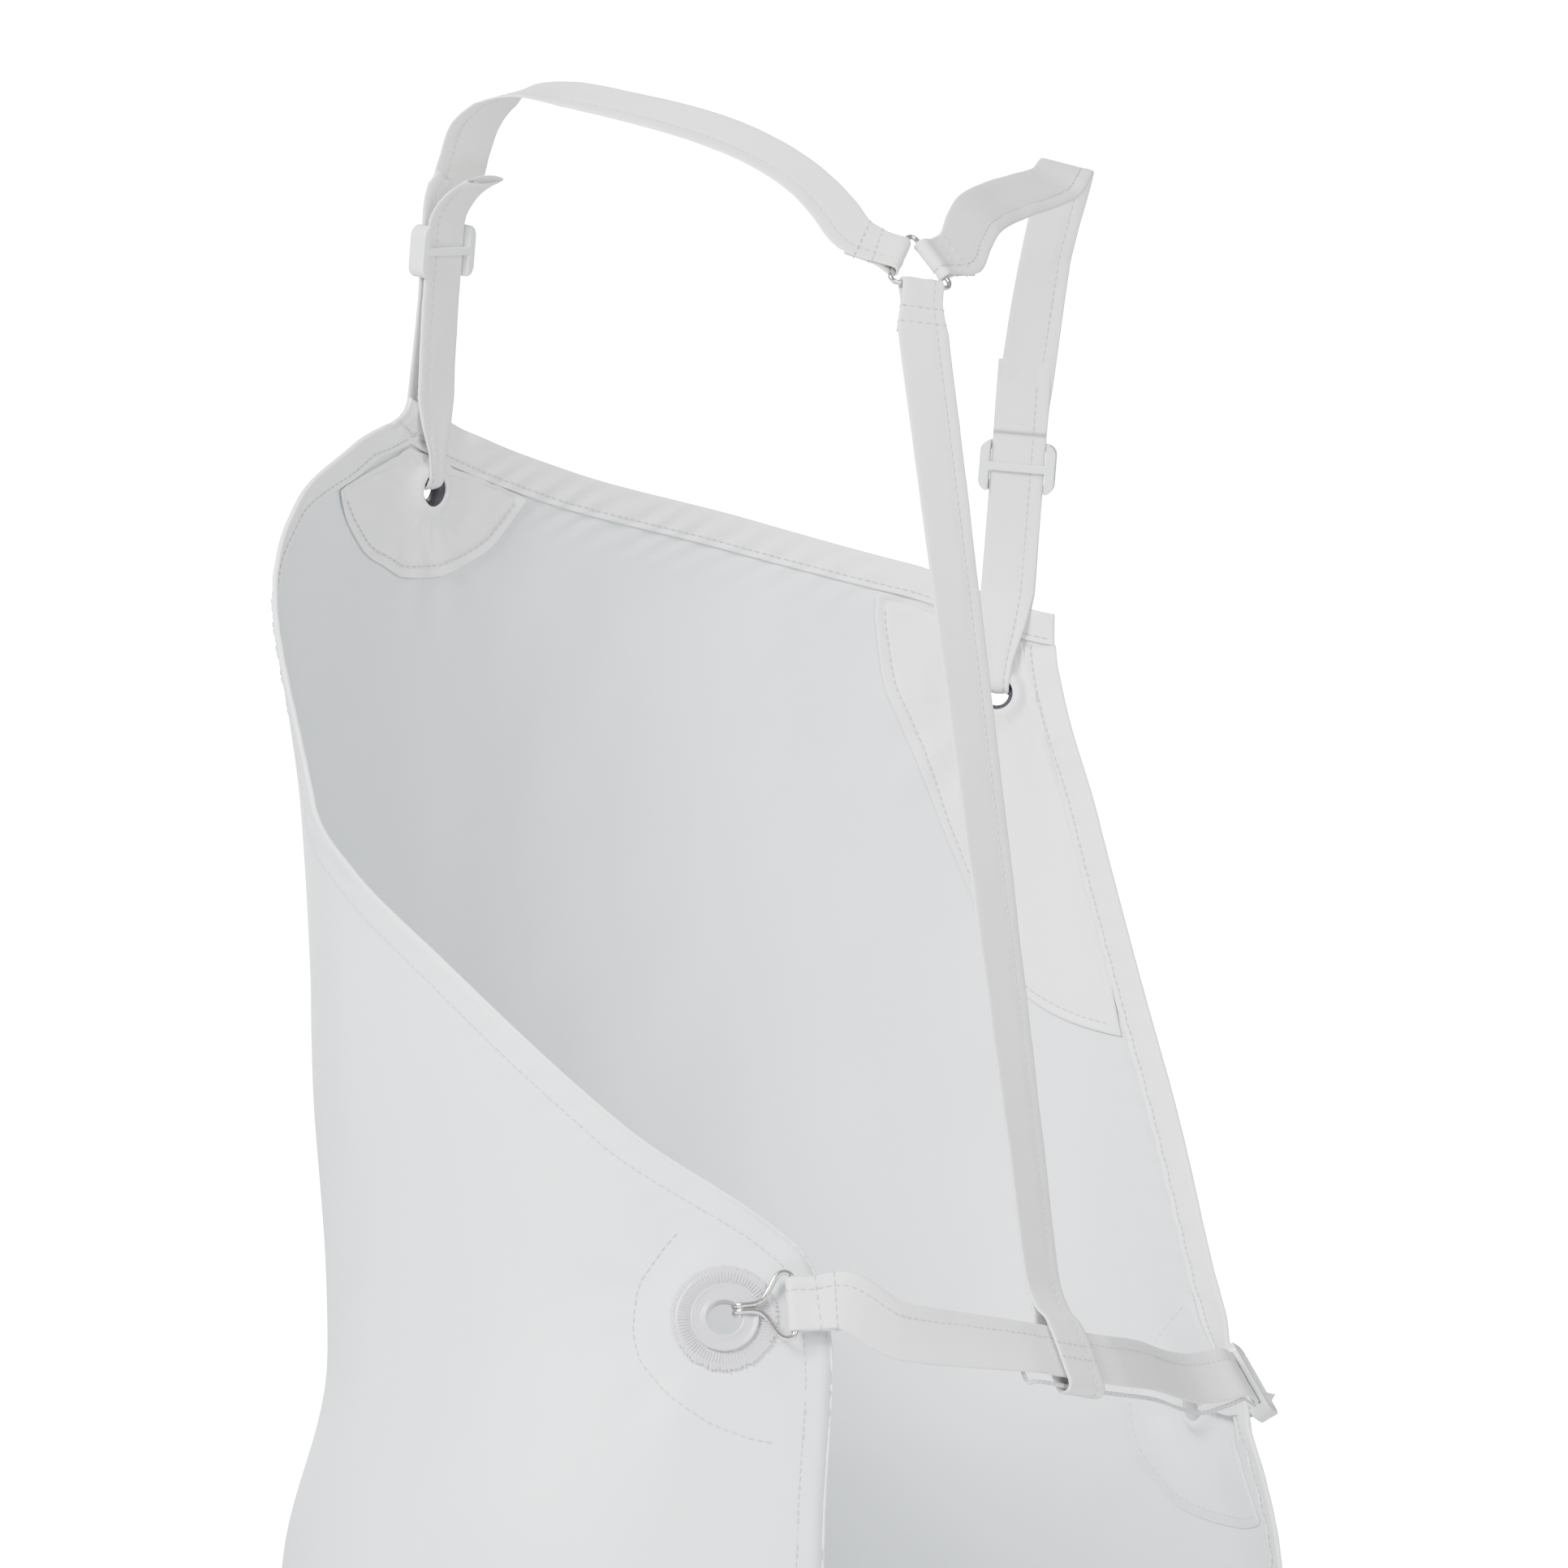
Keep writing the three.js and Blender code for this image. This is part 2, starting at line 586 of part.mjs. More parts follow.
/** Frame at the middle of a side of the triangle; d points away from its centre. */
function ringSideFrame(turnDegrees) {
  const turn = radians(turnDegrees);
  const d = ringFrame.w.clone().multiplyScalar(Math.cos(turn)).addScaledVector(ringFrame.d, Math.sin(turn));
  const n = ringFrame.n;
  return { origin: napePoint.clone().addScaledVector(d, ringInset), d, n, w: d.clone().cross(n) };
}

/** The same side of the triangle, with its strap leaving it toward a point. */
function turnedBar(bar, toward) {
  const d = square(toward.clone().sub(bar.origin), bar.w);
  return { ...bar, d, n: square(bar.n, d) };
}

/** Closed round wire along a closed run of points that lie in one plane. */
function wireRing(points, radius, planeNormal, sides = 8) {
  const ring = [];
  const faces = [];
  const count = points.length;
  points.forEach((point, i) => {
    const along = points[(i + 1) % count].clone().sub(points[(i + count - 1) % count]).normalize();
    const side = along.clone().cross(planeNormal).normalize();
    for (let k = 0; k < sides; k += 1) {
      const a = (2 * Math.PI * k) / sides;
      const out = side.clone().multiplyScalar(radius * Math.cos(a));
      ring.push(point.clone().add(out).addScaledVector(planeNormal, radius * Math.sin(a)));
    }
  });
  for (let i = 0; i < count; i += 1) {
    for (let k = 0; k < sides; k += 1) {
      const a = i * sides + k;
      const b = i * sides + ((k + 1) % sides);
      const c = ((i + 1) % count) * sides + ((k + 1) % sides);
      const d = ((i + 1) % count) * sides + k;
      faces.push([a, c, b], [a, d, c]);
    }
  }
  return meshGeometry(ring, faces);
}

function ringGeometry() {
  const points = [];
  const bend = 3.2; // radius of the wire's corners
  for (const cornerTurn of [90, 210, 330]) {
    const reach = 2 * (ringInset - bend);
    for (const turn of [-60, -30, 0, 30, 60]) {
      const a = radians(cornerTurn);
      const b = radians(cornerTurn + turn);
      const x = reach * Math.cos(a) + bend * Math.cos(b);
      const y = reach * Math.sin(a) + bend * Math.sin(b);
      points.push(napePoint.clone().addScaledVector(ringFrame.w, x).addScaledVector(ringFrame.d, y));
    }
  }
  return wireRing(points, ringWire / 2, ringFrame.n);
}

// ---------------------------------------------------------------- shoulder straps
const shoulderTravel = 12; // each way; the strap is straight over the slider's whole travel

function shoulderStrap(hold, route, ringTurn, tail) {
  const straight = sliderHeight / 2 + shoulderTravel + 2;
  const loop = eyeletLoop(hold, hold.at + straight, hold.at - straight);
  const bar = turnedBar(ringSideFrame(ringTurn), route[0].point);
  const start = barLoop(bar, sewnEnd, ringLoopRadius, ringWidth / 2, strapWidth / 2);
  const run = flow([start[start.length - 1], ...route, loop.outerRun[0]]);
  const list = [...start.slice(0, -1), ...run, ...loop.outerRun.slice(1), ...loop.turn, ...loop.innerRun];
  for (const [along, out] of tail) {
    const point = inFrame(loop.pair, hold.at + along, -pairSpacing / 2 - out);
    list.push(station(point, loop.pair.n.clone().negate()));
  }
  return list;
}

const leftRoute = [
  station(vec(shoulderHalfSpan * 0.29, 95, -54), vec(0.15, 0.8, 0.6)),
  station(vec(shoulderHalfSpan * 0.46, 62, -27), vec(0.25, 0.75, 0.6)),
  station(vec(shoulderHalfSpan * 0.87, 12, -2), vec(0.3, 0.6, 0.75)),
  station(vec(shoulderHalfSpan, 0, 0), vec(0.25, 0.3, 0.9)),
  station(vec(shoulderHalfSpan * 1.06, -30, -9), vec(0.1, -0.5, 0.85)),
  station(vec(shoulderHalfSpan * 1.03, -60, -28), vec(0.1, -0.85, 0.5)),
];
const rightRoute = [
  station(vec(-shoulderHalfSpan * 0.34, 85, -56), vec(-0.1, 0.88, 0.45)),
  station(vec(-shoulderHalfSpan * 0.53, 60, -40), vec(-0.1, 0.85, 0.5)),
  station(vec(-shoulderHalfSpan * 0.88, 20, -16), vec(-0.1, 0.75, 0.65)),
  station(vec(-shoulderHalfSpan, 0, -2), vec(-0.2, 0.1, 1)),
  station(vec(-shoulderHalfSpan * 1.05, -35, -37), vec(-0.1, -0.8, 0.6)),
];
const tailFlat = [[0, 0], [16, 0], [sliderHeight / 2 + 4, 0.3], [sliderHeight / 2 + tailLength, 2]];
const tailProud = [
  [0, 0],
  [sliderHeight / 2 + 2, 0],
  [sliderHeight / 2 + 10, 4],
  [sliderHeight / 2 + 17, 11],
  [sliderHeight / 2 + 23, 21],
];

const leftStations = shoulderStrap(holds.left, leftRoute, 150, tailProud);
const rightStations = shoulderStrap(holds.right, rightRoute, 30, tailFlat);

// ---------------------------------------------------------------- waist belt and back strap
const hookClear = 0.2; // hook wire to eyelet flange, beyond the usual gap
const hookSeat = eyeletStack(places.left_waist).top + gap + hookWire / 2 + hookClear;
const hookLift = 3; // the crook bears on the bore above its middle
const hookBear = Math.sqrt((eyeletBore / 2 - hookWire / 2 - 1.3) ** 2 - hookLift ** 2);
const hookBarFrame = {
  ...places.left_waist.seat,
  origin: inFrame(places.left_waist.seat, hookBear + hookLength, hookSeat, -hookLift),
};
const hookLoopHalf = 11.5;
const hookLoopRadius = hookWire / 2 + ringClearance + strapThickness / 2;

// The belt's way round the open back, as shares of the waist's half width and half depth.
const beltRoute = [
  [0.203, 1.03, -5], [0.042, 0.994, -7], [-0.262, 0.866, -7], [-0.505, 0.68, -5], [-0.73, 0.45, -4],
];
const waistTravel = 20; // the waist slider runs this far away from its eyelet
const beltStraight = 30; // each side of the crossing
const beltTail = 34; // returned end beyond the crossing
const crossing = 2; // the back strap hangs on the belt at this point of the route

function beltGuide(index, inward, lower) {
  const [x, y, dz] = beltRoute[index];
  const before = beltRoute[Math.max(index - 1, 0)];
  const after = beltRoute[Math.min(index + 1, beltRoute.length - 1)];
  const halfWidth = waistWidth / 2;
  const halfDepth = waistDepth / 2;
  const along = vec((after[0] - before[0]) * halfWidth, (after[1] - before[1]) * halfDepth, 0).normalize();
  const lean = -radians(beltTwist * Math.min(index / crossing, 1));
  const out = vec(-along.y, along.x, 0).applyAxisAngle(along, lean).negate();
  const down = vec(0, 0, -1).applyAxisAngle(along, lean);
  const point = vec(x * halfWidth, y * halfDepth, -waistDrop + dz);
  point.addScaledVector(out, -inward).addScaledVector(down, lower);
  return { point, out, along, down };
}

/** Guide stations at a point of the route; the belt is straight where the back strap crosses it. */
function beltGuides(index, inward, lower) {
  const { point, out, along } = beltGuide(index, inward, lower);
  if (index !== crossing) return [station(point, out)];
  return [-1, -0.4, 0.4, 1].map((share) =>
    station(point.clone().addScaledVector(along, share * beltStraight), out.clone()));
}

function beltStations() {
  const straightTo = waistSliderAt + sliderHeight / 2 + waistTravel + 2;
  const loop = eyeletLoop(holds.waist, straightTo, waistSliderAt - sliderHeight / 2 - 3);
  const start = barLoop(hookBarFrame, sewnEnd, hookLoopRadius, hookLoopHalf, strapWidth / 2);
  const outer = beltRoute.flatMap((_, i) => beltGuides(i, 0, 0));
  const run = flow([start[start.length - 1], ...outer, loop.outerRun[0]]);
  const inwards = loop.pair.n.clone().negate();
  const returned = [waistSliderAt, straightTo - 8, straightTo].map((along) =>
    station(inFrame(loop.pair, along, -pairSpacing / 2), inwards.clone()));
  const straightCount = returned.length;
  for (let i = beltRoute.length - 1; i >= crossing; i -= 1) {
    returned.push(...beltGuides(i, pairSpacing, beltLoopDrop).reverse());
  }
  returned.slice(straightCount).forEach((guide) => guide.face.negate());
  const last = beltGuide(crossing, pairSpacing, beltLoopDrop);
  const end = last.point.clone().addScaledVector(last.along, -beltTail).addScaledVector(last.out, -1.5);
  returned.push(station(end, last.out.clone().negate()));
  const there = [...start.slice(0, -1), ...run, ...loop.outerRun.slice(1)];
  return [...there, ...loop.turn, ...loop.innerRun, ...flow(returned)];
}

const crossingGuide = beltGuide(crossing, 0, 0);
const strapBar = ringSideFrame(270); // the lower side of the wire triangle

/** Back strap: a loop round the wire triangle, a straight run, and a loop round the belt. */
function backStrapStations() {
  const bar = turnedBar(strapBar, crossingGuide.point);
  const start = barLoop(bar, sewnEnd, ringLoopRadius, ringWidth / 2, strapWidth / 2);
  const { down, out } = crossingGuide;
  const foot = { origin: crossingGuide.point, d: down, n: out, w: down.clone().cross(out) };
  const middle = -pairSpacing / 2;
  const half = pairSpacing / 2 + strapThickness + beltLoopClearance;
  const above = strapWidth / 2 + beltLoopClearance;
  const below = strapWidth / 2 + beltLoopDrop;
  const layers = (strapThickness + gap) / 2;
  const list = [
    station(inFrame(foot, -above - 22, middle + layers), out),
    station(inFrame(foot, -above - 8, middle + layers), out),
    station(inFrame(foot, -above, middle + half), out),
    station(inFrame(foot, below, middle + half), out),
  ];
  for (let turn = 60; turn >= -60; turn -= 30) {
    const a = radians(turn);
    const face = out.clone().multiplyScalar(Math.sin(a)).addScaledVector(down, Math.cos(a));
    list.push(station(inFrame(foot, below + half * Math.cos(a), middle + half * Math.sin(a)), face));
  }
  const inwards = out.clone().negate();
  list.push(station(inFrame(foot, below, middle - half), inwards));
  list.push(station(inFrame(foot, -above, middle - half), inwards));
  list.push(station(inFrame(foot, -above - 8, middle - layers), inwards));
  list.push(station(inFrame(foot, -above - 20, middle - layers), inwards));
  const run = flow([start[start.length - 1], list[0]], 40);
  return [...start.slice(0, -1), ...run, ...list.slice(1)];
}

// ---------------------------------------------------------------- hardware
/** Plastic eyelet: barrel with a wide outer flange and a narrow inner rim. */
function eyeletGeometry(frame) {
  const stack = eyeletStack(frame);
  const bore = eyeletBore / 2;
  const profile = [
    [bore, stack.bottom], [boreOuter + eyeletLip, stack.bottom], [boreOuter + eyeletLip, stack.rimSeat],
    [boreOuter, stack.rimSeat], [boreOuter, stack.flangeSeat], [eyeletFlange / 2, stack.flangeSeat],
    [eyeletFlange / 2, stack.top], [bore, stack.top], [bore, stack.bottom],
  ];
  const lathe = new THREE.LatheGeometry(profile.map(([x, y]) => new THREE.Vector2(x, y)), 24);
  return placed(lathe.rotateX(Math.PI / 2), frame.seat);
}

/** Clear washer with a toothed rim, lying between the cloth and the eyelet's flange. */
function washerGeometry(frame) {
  const stack = eyeletStack(frame);
  const shape = new THREE.Shape();
  for (let i = 0; i < 2 * washerTeeth; i += 1) {
    const radius = washerDiameter / 2 - (i % 2) * toothDepth;
    const a = (Math.PI * i) / washerTeeth;
    const x = radius * Math.cos(a);
    const y = radius * Math.sin(a);
    if (i === 0) shape.moveTo(x, y);
    else shape.lineTo(x, y);
  }
  shape.holes.push(new THREE.Path().absarc(0, 0, punched, 0, 2 * Math.PI, true));
  const plate = new THREE.ExtrudeGeometry(shape, {
    depth: washerThickness,
    bevelEnabled: false,
    curveSegments: 24,
  });
  return placed(plate.translate(0, 0, stack.washerSeat), frame.seat);
}

function box(width, height, thickness, x, y, z) {
  return solid(new THREE.BoxGeometry(width, height, thickness).translate(x, y, z));
}

/** Slide adjuster: the straps pass between its end bars and its middle bar. */
function sliderGeometry(frame, at) {
  const room = (pairSpacing + strapThickness) / 2 + 0.4;
  const thick = 2 * (room + barThickness);
  const x = sliderLength / 2;
  const y = sliderHeight / 2;
  const r = 5;
  const outline = new THREE.Shape();
  outline.moveTo(x - r, -y);
  outline.absarc(x - r, r - y, r, -Math.PI / 2, 0);
  outline.absarc(x - r, y - r, r, 0, Math.PI / 2);
  outline.absarc(r - x, y - r, r, Math.PI / 2, Math.PI);
  outline.absarc(r - x, r - y, r, Math.PI, 1.5 * Math.PI);
  const block = new THREE.ExtrudeGeometry(outline, { depth: thick, bevelEnabled: false, curveSegments: 5 });
  const slot = strapWidth + 1.2;
  const window = sliderHeight - 2 * sliderBar;
  const shelf = (sliderHeight - middleBar) / 2;
  let body = solid(block.translate(0, 0, -thick / 2));
  body = body.subtract(box(slot, sliderHeight + 2, 2 * room, 0, 0, 0));
  body = body.subtract(box(slot, window, barThickness + 2, 0, 0, room + barThickness / 2 + 0.5));
  for (const side of [-1, 1]) {
    const centre = side * (middleBar / 2 + shelf / 2 + 0.5);
    body = body.subtract(box(slot, shelf + 1, barThickness + 2, 0, centre, -room - barThickness / 2 - 0.5));
  }
  return placed(fromSolid(body), { ...frame, origin: inFrame(frame, at, 0) });
}

/** Hook bent from one wire: a bar in the belt's loop, two shoulders and a doubled crook. */
function hookGeometry() {
  const twin = hookWire / 2 + 0.35; // half the spacing of the doubled wire
  const half = [
    [0, 0.3, 0], [0, hookLoopHalf - 1, 0], [0, hookLoopHalf + 0.3, 0],
    [0.9, hookSpread - 0.7, 0], [3, hookSpread, 0], [5.6, hookSpread - 0.6, 0],
    [8.6, hookSpread - 5, 0], [11.5, twin + 3.2, 0], [14.5, twin + 0.7, 0],
    [hookLength - 7, twin, 0], [hookLength - 3, twin, 0], [hookLength - 0.9, twin, -0.7],
    [hookLength - 0.1, twin, -2.6], [hookLength - 0.6, twin, -hookProng + 1],
    [hookLength - 0.9, twin * 0.7, -hookProng - 0.2],
  ];
  const tip = [hookLength - 1, 0, -hookProng - 0.6];
  const other = half.map(([d, w, n]) => [d, -w, n]).reverse();
  const path = [...half, tip, ...other].map(([d, w, n]) => inFrame(hookBarFrame, -d, n, w));
  const curve = new THREE.CatmullRomCurve3(path, false, 'centripetal');
  const section = new THREE.Shape().absarc(0, 0, hookWire / 2, 0, 2 * Math.PI);
  const wire = new THREE.ExtrudeGeometry(section, { steps: 48, extrudePath: curve, curveSegments: 4 });
  return wire;
}

// ---------------------------------------------------------------- materials and assembly
const finish = (name, color, roughness, metalness = 0) =>
  new THREE.MeshStandardMaterial({ name, color, roughness, metalness });
const coated = () => finish('coated_fabric', 0xdfe4e5, 0.55);
const lining = () => finish('hem_fabric', 0xe6e7e4, 0.6);
const webbing = () => finish('strap_fabric', 0xe4e3e1, 0.62);
const moulded = () => finish('white_plastic', 0xeceeef, 0.4);
const clear = () => finish('clear_plastic', 0xdcd8e2, 0.25);
const nickel = () => finish('nickel_wire', 0xb9b7b2, 0.22, 1);

const apron = new THREE.Group();
function add(name, geometry, material) {
  geometry.computeVertexNormals();
  const mesh = new THREE.Mesh(geometry, material);
  mesh.name = name;
  apron.add(mesh);
}

add('apron_panel', panelGeometry(), coated());

const underTop = 1 + trimRow;
const hems = {
  top_hem: [steps(0, columns), [0, 1 - trimRow]],
  right_armhole_hem: [[0, 1 - trimColumn], steps(1, waistRow, trimRow, 0.02)],
  left_armhole_hem: [[columns - 1 + trimColumn, columns], steps(1, waistRow, trimRow, 0.02)],
  right_side_hem: [[0, 1 - trimColumn], steps(waistRow, rows - 1, 0, trimRow)],
  left_side_hem: [[columns - 1 + trimColumn, columns], steps(waistRow, rows - 1, 0, trimRow)],
  bottom_hem: [steps(0, columns), [rows - 1 + trimRow, rows]],
};
for (const [name, [columnList, rowList]] of Object.entries(hems)) {
  add(name, slab(columnList, rowList, liningInner, liningOuter), lining());
}

const inset = 1 + trimColumn;
const nearLeft = (count) => [...steps(columns - count, columns - 2), columns - inset];
const nearRight = (count) => [inset, ...steps(2, count)];
const waistRows = steps(waistRow - 7, waistRow + 3);
const waistReach = waistEyeletInset + patchBelow;
const bibReach = places.left_bib.edgeAt + patchBelow;
const topCorner = sheetPoint(0, 0, 0);
const { left_bib: leftBib, left_waist: leftWaist } = places;
const { right_bib: rightBib, right_waist: rightWaist } = places;
const patches = {
  left_bib_patch: [leftBib, nearLeft(10), steps(1, 7, trimRow), roundPatch(leftBib, cornerPatch, bibReach)],
  right_bib_patch: [rightBib, nearRight(9), steps(1, 13, trimRow), taperedPatch(rightBib, topCorner)],
  left_waist_patch: [leftWaist, nearLeft(6), waistRows, roundPatch(leftWaist, waistPatch, waistReach)],
  right_waist_patch: [rightWaist, nearRight(6), waistRows, roundPatch(rightWaist, waistPatch, waistReach)],
};
for (const [name, layout] of Object.entries(patches)) add(name, patchGeometry(...layout), lining());

for (const [name, frame] of Object.entries(places)) {
  add(`${name}_eyelet`, eyeletGeometry(frame), moulded());
  add(`${name}_washer`, washerGeometry(frame), clear());
}

add('left_shoulder_strap', strapGeometry(leftStations), webbing());
add('right_shoulder_strap', strapGeometry(rightStations), webbing());
add('waist_belt', strapGeometry(beltStations()), webbing());
add('back_strap', strapGeometry(backStrapStations()), webbing());
add('nape_ring', ringGeometry(), nickel());
add('belt_hook', hookGeometry(), nickel());

for (const [side, hold] of Object.entries(holds)) {
  add(`${side}_slider`, sliderGeometry(eyeletLoop(hold, hold.at, hold.at).pair, hold.at), moulded());
}

export default apron;
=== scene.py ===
import json
import math

import bmesh
import bpy
from mathutils import Matrix, Vector, noise
from mathutils.bvhtree import BVHTree


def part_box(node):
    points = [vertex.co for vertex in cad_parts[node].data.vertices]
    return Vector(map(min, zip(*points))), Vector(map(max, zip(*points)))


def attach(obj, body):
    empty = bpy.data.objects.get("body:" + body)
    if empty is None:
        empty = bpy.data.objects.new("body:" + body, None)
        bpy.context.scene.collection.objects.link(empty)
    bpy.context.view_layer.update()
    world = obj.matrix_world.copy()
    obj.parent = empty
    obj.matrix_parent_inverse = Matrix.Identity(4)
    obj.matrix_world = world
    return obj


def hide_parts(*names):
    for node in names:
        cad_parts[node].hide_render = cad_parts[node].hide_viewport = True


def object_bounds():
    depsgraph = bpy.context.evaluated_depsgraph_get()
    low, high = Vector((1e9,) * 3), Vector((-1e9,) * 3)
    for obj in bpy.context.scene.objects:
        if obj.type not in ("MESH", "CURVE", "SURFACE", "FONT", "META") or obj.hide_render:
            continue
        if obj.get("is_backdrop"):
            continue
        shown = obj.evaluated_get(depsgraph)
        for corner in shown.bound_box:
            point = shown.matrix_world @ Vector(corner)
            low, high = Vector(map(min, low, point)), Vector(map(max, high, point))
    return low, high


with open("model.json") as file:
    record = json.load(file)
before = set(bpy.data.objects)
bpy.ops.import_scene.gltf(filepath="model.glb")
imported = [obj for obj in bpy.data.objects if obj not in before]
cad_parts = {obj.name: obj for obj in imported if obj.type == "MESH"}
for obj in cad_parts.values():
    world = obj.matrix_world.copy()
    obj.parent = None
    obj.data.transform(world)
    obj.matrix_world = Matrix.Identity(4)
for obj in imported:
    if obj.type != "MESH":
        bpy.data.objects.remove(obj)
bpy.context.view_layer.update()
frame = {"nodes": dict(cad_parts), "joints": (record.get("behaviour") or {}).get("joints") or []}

MM = 0.001

# ------------------------------------------------------------------ where it is seen and lit
# The apron is seen from behind and below, from the wearer's left, against plain white. The
# light is broad and soft, stronger from above and from the viewer's left.
VIEW_AZIMUTH = math.radians(154)
VIEW_ELEVATION = math.radians(-11)
VIEW_TARGET = Vector((-0.01905, -0.05316, -0.28878))
VIEW_DISTANCE = 4.0
VIEW_LENS = 204.97
FLOOR_HEIGHT = -1.46  # the wearer's soles below the tops of the shoulders

toward_viewer = Vector((
    math.sin(VIEW_AZIMUTH) * math.cos(VIEW_ELEVATION),
    -math.cos(VIEW_AZIMUTH) * math.cos(VIEW_ELEVATION),
    math.sin(VIEW_ELEVATION),
))


def turned_to(direction):
    """Rotation of a camera or lamp that looks against this direction."""
    return direction.to_track_quat("Z", "Y").to_euler()


camera_data = bpy.data.cameras.new("camera")
camera_data.lens = VIEW_LENS
camera_data.sensor_width = 36
camera = bpy.data.objects.new("camera", camera_data)
camera.location = VIEW_TARGET + toward_viewer * VIEW_DISTANCE
camera.rotation_euler = turned_to(toward_viewer)
bpy.context.collection.objects.link(camera)
bpy.context.scene.camera = camera


LIGHT_AIM = Vector((0, 0, -0.5))


def soft_light(name, direction, distance, size, power):
    """A square lamp that looks at the middle of the apron."""
    lamp = bpy.data.lights.new(name, "AREA")
    lamp.shape = "SQUARE"
    lamp.size = size
    lamp.energy = power
    holder = bpy.data.objects.new(name, lamp)
    toward = Vector(direction).normalized()
    holder.location = LIGHT_AIM + toward * distance
    holder.rotation_euler = turned_to(toward)
    bpy.context.collection.objects.link(holder)


soft_light("key_light", (0.92, 0.52, 0.5), 2.8, 1.0, 225)
soft_light("fill_light", (-0.2, 1.2, 0.3), 3.0, 1.5, 75)
soft_light("front_light", (-0.3, -1.6, 0.9), 3.0, 2.0, 150)

BACKDROP_STRENGTH = 24.0  # plain white where the camera sees past the apron
AMBIENT_BELOW = 0.10
AMBIENT_ABOVE = 0.70
world = bpy.data.worlds.new("studio")
world.use_nodes = True
backdrop = world.node_tree.nodes["Background"]
backdrop.inputs["Color"].default_value = (0.95, 0.98, 1.0, 1)
seen_from = world.node_tree.nodes.new("ShaderNodeLightPath")
backdrop_strength = world.node_tree.nodes.new("ShaderNodeMapRange")
backdrop_strength.inputs["To Max"].default_value = BACKDROP_STRENGTH
world.node_tree.links.new(seen_from.outputs["Is Camera Ray"], backdrop_strength.inputs["Value"])
looking = world.node_tree.nodes.new("ShaderNodeTexCoord")
heading = world.node_tree.nodes.new("ShaderNodeSeparateXYZ")
ambient = world.node_tree.nodes.new("ShaderNodeMapRange")
ambient.inputs["From Min"].default_value = -1.0
ambient.inputs["To Min"].default_value = AMBIENT_BELOW
ambient.inputs["To Max"].default_value = AMBIENT_ABOVE
world.node_tree.links.new(looking.outputs["Generated"], heading.inputs["Vector"])
world.node_tree.links.new(heading.outputs["Z"], ambient.inputs["Value"])
world.node_tree.links.new(ambient.outputs["Result"], backdrop_strength.inputs["To Min"])
world.node_tree.links.new(backdrop_strength.outputs["Result"], backdrop.inputs["Strength"])
bpy.context.scene.world = world


def plain_material(name, color, roughness, metallic=0.0):
    """A material with its shader's own values set; the pattern nodes are added to it later."""
    material = bpy.data.materials.new(name)
    material.use_nodes = True
    shader = material.node_tree.nodes["Principled BSDF"]
    shader.inputs["Base Color"].default_value = (*color, 1)
    shader.inputs["Roughness"].default_value = roughness
    shader.inputs["Metallic"].default_value = metallic
    return material, shader


bpy.ops.mesh.primitive_plane_add(size=12, location=(0, 0, FLOOR_HEIGHT))
floor = bpy.context.object
floor.name = "floor"
floor.data.materials.append(plain_material("floor_white", (0.9, 0.9, 0.9), 0.7)[0])
floor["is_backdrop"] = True

# ------------------------------------------------------------------ panel
# One cut piece of white coated cloth, bib and skirt together, hanging round the front and the
# sides of the body. It is nearly smooth, with slow folds, and drawn in a little at each seam.
WAIST_DROP = 0.560
HEM_DROP = 1.300
WAIST_WIDTH = 0.424
WAIST_DEPTH = 0.344
LEFT_CORNER_DROP = 0.122
RIGHT_CORNER_DROP = 0.189
SIDE_EDGE_DROP = WAIST_DROP - 0.012
CLOTH = 0.8 * MM
HEM_FOLD = 14 * MM
ARMHOLE_FLARE = 0.030
SKIRT_WAVE = 0.007
PANEL_COLUMNS = 176
UPPER_ROWS = 130
LOWER_ROWS = 90


def mix(a, b, t):
    return a + (b - a) * t


def smooth(t):
    t = min(max(t, 0.0), 1.0)
    return t * t * (3 - 2 * t)


def through(points):
    """Smooth curve without overshoot through (x, y) points in rising x, flat beyond its ends."""
    slopes = [0.0]
    for (xa, ya), (xb, yb), (xc, yc) in zip(points, points[1:], points[2:]):
        before = (yb - ya) / (xb - xa)
        after = (yc - yb) / (xc - xb)
        slopes.append(2 * before * after / (before + after) if before * after > 0 else 0.0)
    slopes.append(0.0)

    def curve(x):
        if x <= points[0][0]:
            return points[0][1]
        if x >= points[-1][0]:
            return points[-1][1]
        i = next(k for k, point in enumerate(points) if point[0] > x) - 1
        width = points[i + 1][0] - points[i][0]
        t = (x - points[i][0]) / width
        start = (1 + 2 * t) * (1 - t) ** 2 * points[i][1] + t * (1 - t) ** 2 * width * slopes[i]
        return start + t * t * (3 - 2 * t) * points[i + 1][1] + t * t * (t - 1) * width * slopes[i + 1]

    return curve


girth = through([(0.2, 1.02), (0.54, 1.06), (0.72, 1.05), (1, 0.99), (1.12, 1.062), (2, 1.12)])
depth = through([(0.2, 0.75), (0.3, 0.825), (0.4, 0.877), (0.55, 0.93), (1, 1), (1.15, 1.05), (2, 1.13)])
side_shift = through([(0.25, -0.012), (0.54, -0.002), (1, 0.0005), (1.15, 0.004), (2, 0.005)])
right_edge = through([
    (0.34, -50), (0.51, -58.5), (0.67, -67.8), (0.84, -80.8),
    (0.97, -94.5), (1.02, -101), (1.1, -106), (2, -97),
])
left_edge = through([
    (0.218, 48), (0.27, 60), (0.33, 72), (0.42, 77), (0.5, 78.5), (0.58, 83),
    (0.64, 96), (0.72, 114), (0.86, 139), (0.97, 160.5), (1.05, 162.5), (2, 152),
])
top_rise = through([(0, 0), (0.18, 0.012), (0.38, 0.014), (0.65, 0.0075), (1, 0)])


